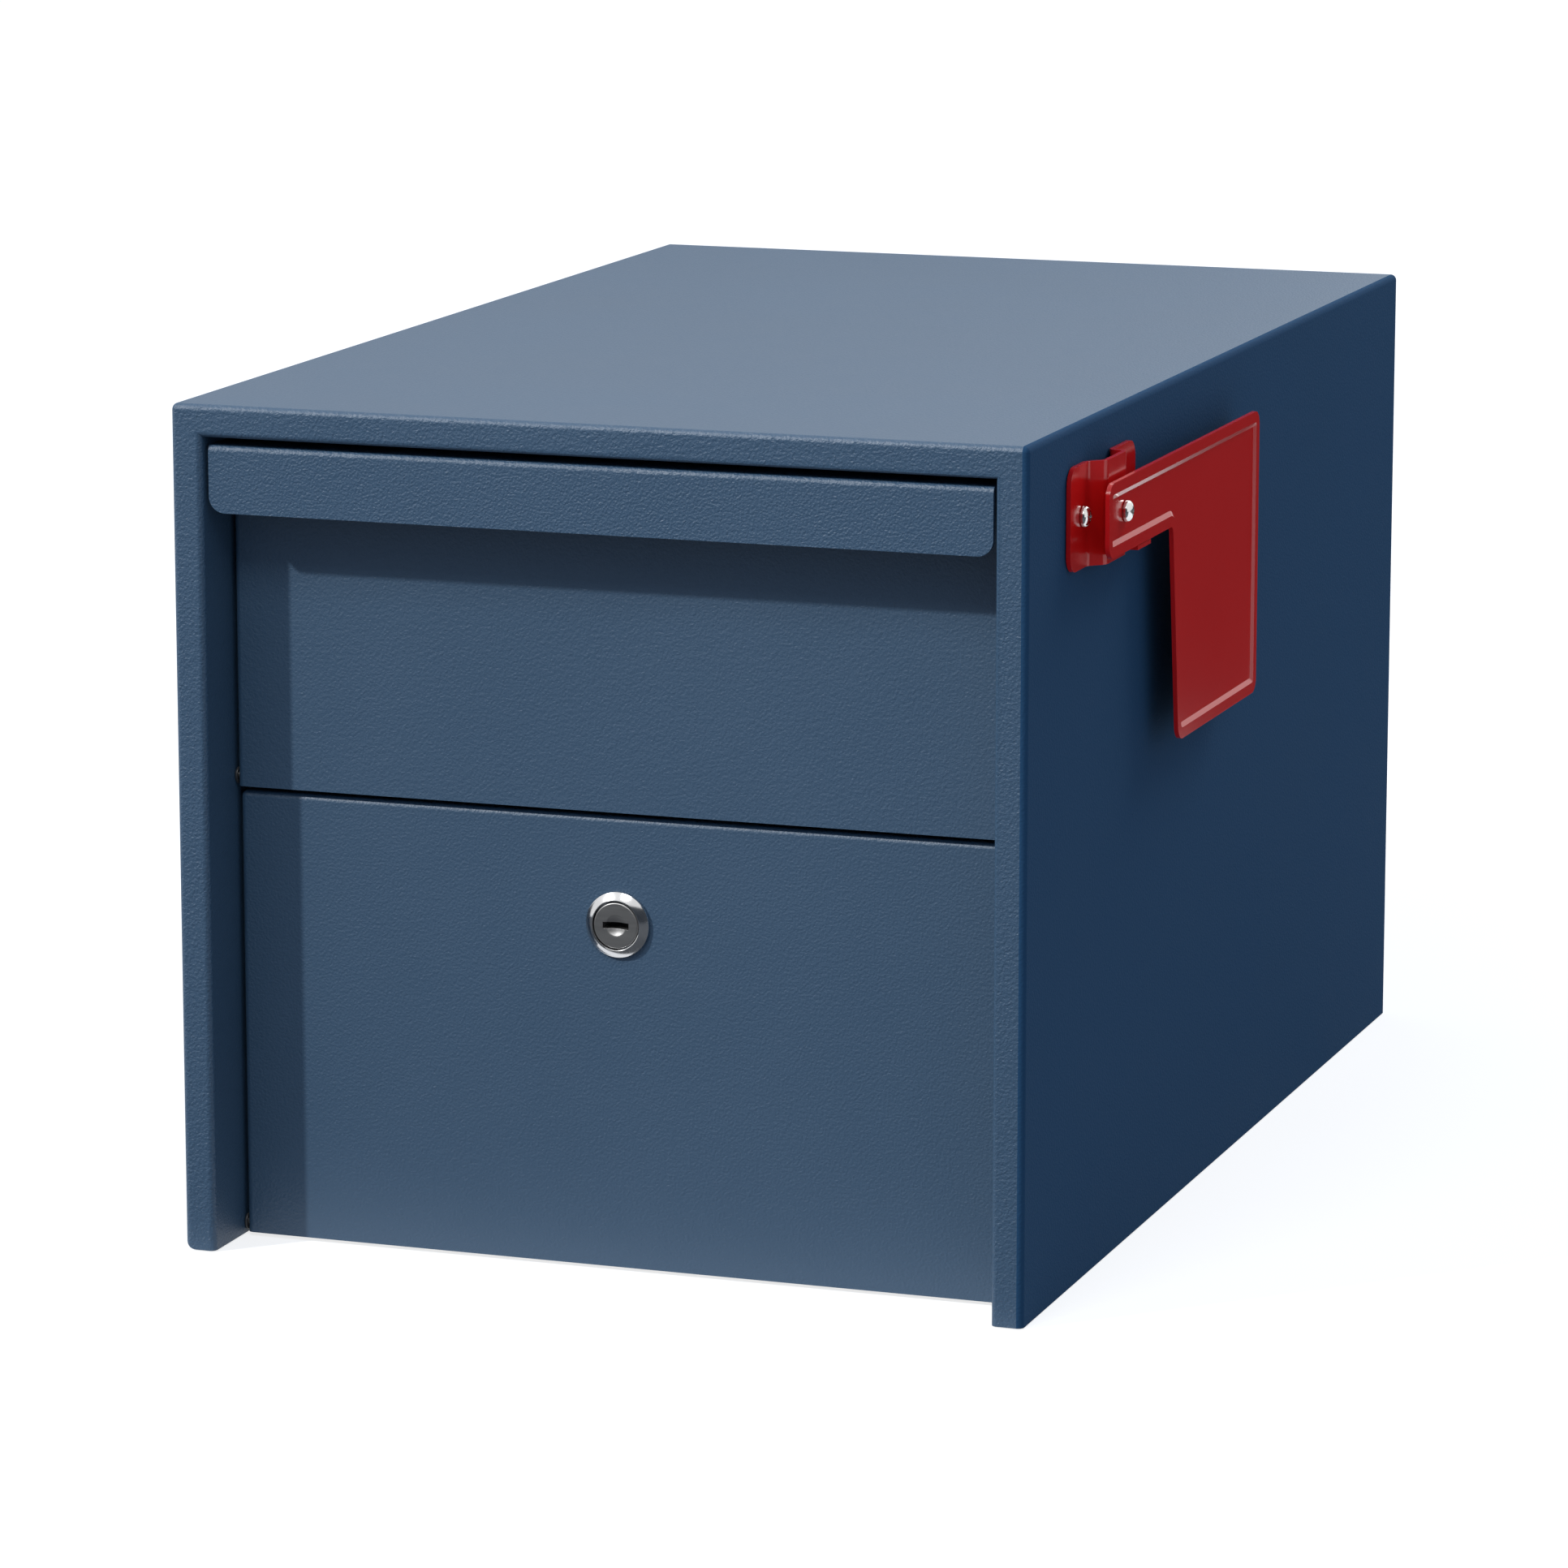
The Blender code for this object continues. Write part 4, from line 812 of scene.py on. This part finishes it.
# Lock plug. What the key turns, of satin steel: a round face with a dished keyway, and a square tail at the
# back for the cam.
plug_tones = ((0.29, 0.29, 0.29), (0.40, 0.40, 0.40))
satin_steel = plated("satin_plug", (60.0, 900.0, 900.0), plug_tones, (0.38, 0.50), 0.00001)
plug_low, plug_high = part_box("lock_plug")
plug_front = plug_low.y - lock.y
plug_face, plug_radius = 0.0079, 0.0062
plug_profile = [
    (plug_face - 0.0006, plug_front),
    (plug_face - 0.0003, plug_front + 0.0001),
    (plug_face - 0.0001, plug_front + 0.0003),
    (plug_face, plug_front + 0.0006),
    (plug_face, plug_front + 0.0016),
    (plug_radius, plug_front + 0.0016),
    (plug_radius, barrel_end),
]
plug = turned("lock_core", "Y", lock, plug_profile, sides=72)
tail = 0.0035
tail_low = (-tail, lock.y + barrel_end - sheet, lock.z - tail)
combine(plug, block("tail", tail_low, (tail, plug_high.y, lock.z + tail)), "UNION")
dish_radius, dish_depth, dish_steps = 0.0038, 0.0011, 8
dish = [(dish_radius, plug_front - sheet)]
for step in range(dish_steps):
    share = step / dish_steps
    dish.append((dish_radius * (1 - share), plug_front + dish_depth * (1 - (1 - share) ** 2)))
combine(plug, turned("key_dish", "Y", lock, dish))
slot_x, slot_z, slot_deep = 0.0046, 0.0011, 0.010
slot_low = (-slot_x, lock.y + plug_front - sheet, lock.z - slot_z)
combine(plug, block("keyway", slot_low, (slot_x, lock.y + plug_front + slot_deep, lock.z + slot_z)))
soften(plug, fine_edge, sharp=35)
dress(plug, "lock_plug", satin_steel)

# Cam, with its washer and screw. A stamped, zinc-plated steel finger on the plug's square tail, held on by a
# hexagon screw.
cam = trimmed("lock_cam", "cam_finger", broad_edge)
dress(cam, "lock_cam", zinc_plate)
low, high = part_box("cam_washer")
washer_radius = (high.x - low.x) / 2
washer_profile = [
    (washer_radius, low.y - lock.y),
    (washer_radius, high.y - lock.y),
    (screw_hole, high.y - lock.y),
    (screw_hole, low.y - lock.y),
]
cam_washer = turned("cam_seat_ring", "Y", lock, washer_profile, ring=True)
soften(cam_washer, fine_edge)
dress(cam_washer, "cam_washer", zinc_plate)
screw_low, screw_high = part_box("cam_screw")
head_tall, small_hex, screw_radius = 0.003, 0.0042, 0.002
head_low = screw_high.y - head_tall - lock.y
cam_screw = hexagon("cam_bolt", "Y", lock, small_hex, head_low, screw_high.y - lock.y, 0.0)
tip_run = screw_low.y - lock.y
shank = [(screw_radius - fit, tip_run), (screw_radius, tip_run + fit), (screw_radius, head_low + fit)]
combine(cam_screw, turned("shank", "Y", lock, shank, sides=32), "UNION")
soften(cam_screw, fine_edge / 2)
dress(cam_screw, "cam_screw", zinc_plate)

# Flag bracket. A hat-section strap of steel, pressed, dipped in red enamel and screwed to the right wall.
# Its crown carries the flag, and a tab below stops the flag's arm.
red_tones = ((0.600, 0.0070, 0.0065), (0.640, 0.0085, 0.0075))
red_enamel = skinned("red_enamel", 260.0, 0.000015, red_tones, (0.14, 0.20))
hat_low, hat_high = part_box("flag_bracket")
hat_z = middle("flag_bracket_screw_front").z
hat_tall, strap, standoff, pressed_edge = 0.0345, 0.0015, 0.0067, 0.0004
front_run, ramp_run, crown_run, web_run = 0.019, 0.005, 0.022, 0.0015
arm_tall, pivot_drop, tab_width = 0.0248, 0.0114, 0.0195
hat_corner, red_corner, corner_steps = 0.006, 0.005, 8
hat_rise = hat_tall / 2
pivot = middle("flag_pivot_screw")
on_wall = hat_low.x + strap / 2
crown_x = on_wall + standoff - strap
ramp_y = hat_low.y + front_run
crown_y = ramp_y + ramp_run
web_y = crown_y + crown_run
rear_y = web_y + web_run
hat = block(
    "pressed_bracket", (on_wall - sheet, hat_low.y, hat_z - hat_rise), (on_wall, ramp_y, hat_z + hat_rise)
)
pick(hat, "FACE", line(x=on_wall))
bpy.ops.mesh.select_all(action="INVERT")
bpy.ops.mesh.delete(type="FACE")
pick(hat, "EDGE", line(y=ramp_y))
draw_out(crown_x - on_wall, crown_y - ramp_y, 0.0)
draw_out(0.0, web_y - crown_y, 0.0)
draw_out(on_wall - crown_x, rear_y - web_y, 0.0)
draw_out(0.0, hat_high.y - rear_y, 0.0)
round_off(hat, "EDGE", bend, bend_steps, *[line(y=fold) for fold in (ramp_y, crown_y, web_y, rear_y)])
round_off(hat, "VERT", hat_corner, corner_steps, line(y=hat_low.y), line(y=hat_high.y))
thicken(hat, strap)
tab_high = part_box("flag")[1].z - arm_tall - fit
tab_y = pivot.y + arm_tall - pivot_drop + fit
tab_end = tab_y + tab_width
tab = block("stop_tab", (hat_low.x, tab_y, tab_high - strap), (hat_high.x, tab_end, tab_high))
round_off(tab, "EDGE", red_corner, corner_steps, line(x=hat_high.x, y=tab_end))
combine(hat, tab, "UNION")
for node in ("flag_bracket_screw_front", "flag_bracket_screw_rear"):
    spot = middle(node)
    bore(hat, "X", (0.0, spot.y, spot.z), screw_hole, on_wall - 2 * strap, on_wall + 2 * strap)
bore(hat, "X", (0.0, pivot.y, pivot.z), screw_hole, crown_x - 2 * strap, crown_x + 2 * strap)
soften(hat, pressed_edge, steps=3)
dress(hat, "flag_bracket", red_enamel)

# Bracket screws and nuts. Round-headed, zinc-plated steel screws with a cross recess, through bracket and
# wall, and plain hexagon nuts inside.


def pan_screw(name, node):
    """Round-headed screw along X with a cross recess, as long as its solid."""
    low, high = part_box(node)
    spot = (0.0, (low.y + high.y) / 2, (low.z + high.z) / 2)
    head, rise, dome_steps = 0.0035, 0.0025, 8
    seat = high.x - rise
    profile = [(screw_radius - fit, low.x), (screw_radius, low.x + fit), (screw_radius, seat)]
    profile += round_head(head, seat, rise, dome_steps)
    piece = turned(name, "X", spot, profile)
    blade, reach, deep, taper = 0.00045, 0.0018, 0.0014, 0.6
    for wide, tall in ((blade, reach), (reach, blade)):
        recess_low = (high.x - deep, spot[1] - wide, spot[2] - tall)
        recess = block("recess", recess_low, (high.x + deep, spot[1] + wide, spot[2] + tall))
        pick(recess, "FACE", line(x=high.x - deep))
        bpy.ops.transform.resize(value=(1.0, taper, taper), center_override=spot)
        combine(piece, recess)
    soften(piece, ring_edge, sharp=35)
    return piece


bright_tones = ((0.66, 0.66, 0.65), (0.80, 0.80, 0.79))
bright_zinc = plated("bright_zinc", (700.0, 700.0, 700.0), bright_tones, (0.13, 0.22), 0.00001)
front_screw = pan_screw("bracket_screw_1", "flag_bracket_screw_front")
screw_step = middle("flag_bracket_screw_rear") - middle("flag_bracket_screw_front")
rear_screw = copied(front_screw, "bracket_screw_2", screw_step)
dress(front_screw, "flag_bracket_screw_front", bright_zinc)
dress(rear_screw, "flag_bracket_screw_rear", bright_zinc)
low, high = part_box("flag_bracket_nut_front")
spot = middle("flag_bracket_nut_front")
front_nut = hexagon("bracket_nut_1", "X", (0.0, spot.y, spot.z), small_hex, low.x, high.x, screw_hole)
rear_nut = copied(front_nut, "bracket_nut_2", middle("flag_bracket_nut_rear") - spot)
dress(front_nut, "flag_bracket_nut_front", zinc_plate)
dress(rear_nut, "flag_bracket_nut_rear", zinc_plate)

# Flag. One steel plate with an arm, pressed so that its rim stands proud of a sunken field, and enamelled
# red. It hangs on its pivot screw.
plate_width, plate_taper, inner_corner = 0.108, 0.0095, 0.0025
rim, field_bevel, field_sink = 0.0036, 0.0016, 0.0008
flag_low, flag_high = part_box("flag")
rim_x = flag_high.x - sheet / 2
arm_low = flag_high.z - arm_tall
plate_y = flag_high.y - plate_width
flag = block("pressed_flag", (rim_x - sheet, flag_low.y, arm_low), (rim_x, flag_high.y, flag_high.z))
pick(flag, "FACE", line(x=rim_x))
bpy.ops.mesh.select_all(action="INVERT")
bpy.ops.mesh.delete(type="FACE")
bpy.ops.mesh.select_all(action="SELECT")
bpy.ops.mesh.bisect(plane_co=(0.0, plate_y, 0.0), plane_no=(0.0, 1.0, 0.0))
pick(flag, "EDGE", lambda at: near(at.z, arm_low) and at.y > plate_y - fit)
draw_out(0.0, 0.0, flag_low.z - arm_low)
pick(flag, "VERT", line(y=plate_y, z=flag_low.z))
bpy.ops.transform.translate(value=(0.0, plate_taper, 0.0))
bpy.ops.mesh.select_mode(type="FACE")
bpy.ops.mesh.select_all(action="SELECT")
bpy.ops.mesh.dissolve_faces()
pick(flag, "VERT", line(y=flag_high.y, z=arm_low), line(y=plate_y, z=flag_high.z))
bpy.ops.mesh.dissolve_verts()
round_off(flag, "VERT", inner_corner, bend_steps, line(y=plate_y, z=arm_low))
flag_corners = [line(y=flag_low.y), line(z=flag_high.z), line(z=flag_low.z)]
round_off(flag, "VERT", red_corner, corner_steps, *flag_corners)
pick(flag, "FACE", line(x=rim_x))
bpy.ops.mesh.inset(thickness=rim, depth=0.0)
bpy.ops.mesh.inset(thickness=field_bevel, depth=-field_sink)
thicken(flag, sheet)
bore(flag, "X", (0.0, pivot.y, pivot.z), screw_hole, rim_x - 3 * sheet, rim_x + 3 * sheet)
soften(flag, pressed_edge, steps=3, sharp=20)
dress(flag, "flag", red_enamel)

# Flag pivot. A round-headed, zinc-plated screw through flag and bracket, with a nylon washer between them and
# a nut behind.
pivot_screw = pan_screw("flag_screw", "flag_pivot_screw")
dress(pivot_screw, "flag_pivot_screw", bright_zinc)
low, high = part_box("flag_washer")
washer_radius = (high.y - low.y) / 2
washer_profile = [(washer_radius, low.x), (washer_radius, high.x)]
washer_profile += [(screw_hole, high.x), (screw_hole, low.x)]
flag_washer = turned("flag_glide_ring", "X", (0.0, pivot.y, pivot.z), washer_profile, ring=True)
soften(flag_washer, fine_edge)
dress(flag_washer, "flag_washer", black_nylon)
low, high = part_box("flag_pivot_nut")
pivot_nut = hexagon("flag_nut", "X", (0.0, pivot.y, pivot.z), small_hex, low.x, high.x, screw_hole)
dress(pivot_nut, "flag_pivot_nut", zinc_plate)

# Floor. A plain pale sweep under the box. It reads white in the picture and in the metal, and keeps the
# shadow.
floor_size, floor_drop, floor_white = 60.0, 0.0004, 0.76
bpy.ops.object.select_all(action="DESELECT")
bpy.ops.mesh.primitive_plane_add(size=floor_size, location=(0.0, 0.0, -floor_drop))
floor = bpy.context.object
floor.name = "studio_floor"
pale_floor, floor_tree, floor_shader = new_finish("pale_floor")
floor_shader.inputs["Base Color"].default_value = (0.33, 0.33, 0.33, 1.0)
floor_shader.inputs["Roughness"].default_value = 0.9
floor_shader.inputs["Specular IOR Level"].default_value = 0.0
floor_shader.inputs["Emission Color"].default_value = (1.0, 1.0, 1.0, 1.0)


def seen_straight(tree, share):
    """Share of white for what the camera sees, directly or in metal and glass, and none for other rays."""
    path = add_node(tree, "ShaderNodeLightPath", (-900, -300))
    both = add_node(tree, "ShaderNodeMath", (-650, -300))
    every = add_node(tree, "ShaderNodeMath", (-450, -300))
    level = add_node(tree, "ShaderNodeMath", (-250, -300))
    level.operation = "MULTIPLY"
    level.inputs[1].default_value = share
    tree.links.new(path.outputs["Is Camera Ray"], both.inputs[0])
    tree.links.new(path.outputs["Is Glossy Ray"], both.inputs[1])
    tree.links.new(both.outputs["Value"], every.inputs[0])
    tree.links.new(path.outputs["Is Transmission Ray"], every.inputs[1])
    tree.links.new(every.outputs["Value"], level.inputs[0])
    return level.outputs["Value"]


floor_tree.links.new(seen_straight(floor_tree, floor_white), floor_shader.inputs["Emission Strength"])
floor.data.materials.append(pale_floor)

# Dark cloths. One lies on the floor in front of the box and hangs behind the camera, one lies behind on the
# right and a low one hangs behind on the left. They show only in what the coat, enamel and metal reflect.
cloth_left, cloth_right, cloth_near, cloth_far, cloth_top = -4.0, 4.0, -0.245, -3.2, 2.2
front_cloth = block("front_cloth", (cloth_left, cloth_far, 0.0), (cloth_right, cloth_near, cloth_top))
open_up(front_cloth, line(x=cloth_left), line(x=cloth_right), line(y=cloth_near), line(z=cloth_top))
side_left, side_near, side_far = 0.151, 0.70, 6.7
side_cloth = block("side_cloth", (side_left, side_near, 0.0), (cloth_right, side_far, cloth_top))
side_edges = [line(x=side_left), line(x=cloth_right), line(y=side_near), line(y=side_far)]
open_up(side_cloth, line(z=cloth_top), *side_edges)
back_right, back_near, back_top = -0.1, 1.2, 0.58
back_cloth = block("back_cloth", (cloth_left, back_near, 0.0), (back_right, side_far, back_top))
back_edges = [line(x=cloth_left), line(x=back_right), line(z=0.0), line(z=back_top)]
open_up(back_cloth, line(y=side_far), *back_edges)
clear()
for cloth, shade in ((front_cloth, 0.10), (side_cloth, 0.02), (back_cloth, 0.02)):
    dark_cloth, _, cloth_shader = new_finish(cloth.name)
    cloth_shader.inputs["Base Color"].default_value = (shade, shade, shade, 1.0)
    cloth_shader.inputs["Roughness"].default_value = 1.0
    cloth_shader.inputs["Specular IOR Level"].default_value = 0.0
    cloth.data.materials.append(dark_cloth)
    cloth.visible_camera = False
    cloth.visible_diffuse = False
    cloth.visible_shadow = False

# Light. A key lamp high on the left in front, a small lamp above the front, a broad soft lamp behind on the
# right, and a pale surround.
bpy.ops.object.select_all(action="DESELECT")
bpy.ops.object.light_add(type="SUN", location=(-1.0, -1.0, 1.5))
key = bpy.context.object
key.name = "key_lamp"
key.rotation_euler = Vector((1.04, 1.0, -1.14)).to_track_quat("-Z", "Y").to_euler()
key.data.energy = 2.48
key.data.angle = math.radians(2.0)


def area_lamp(name, place, aim, size, energy):
    """Square lamp at a place, turned towards its aim."""
    bpy.ops.object.light_add(type="AREA", location=place)
    lamp = bpy.context.object
    lamp.name = name
    lamp.rotation_euler = (Vector(aim) - Vector(place)).to_track_quat("-Z", "Y").to_euler()
    lamp.data.shape = "SQUARE"
    lamp.data.size = size
    lamp.data.energy = energy
    return lamp


area_lamp("soft_lamp", (0.8, 1.8, 1.8), (0.15, 0.0, 0.2), 1.0, 32.0)
front_lamp = area_lamp("front_lamp", (0.0, -0.9, 1.1), (0.0, -0.236, 0.25), 0.3, 4.0)
front_lamp.data.specular_factor = 0.0
world = bpy.data.worlds.new("studio_surround")
bpy.context.scene.world = world
world.use_nodes = True
surround = world.node_tree.nodes["Background"]
surround.inputs["Strength"].default_value = 1.0
paling = add_node(world.node_tree, "ShaderNodeMix", (-50, 0))
paling.data_type = "RGBA"
paling.inputs["A"].default_value = (0.340, 0.455, 0.630, 1.0)
paling.inputs["B"].default_value = (1.0, 1.0, 1.0, 1.0)
world.node_tree.links.new(seen_straight(world.node_tree, 1.0), paling.inputs["Factor"])
world.node_tree.links.new(paling.outputs["Result"], surround.inputs["Color"])
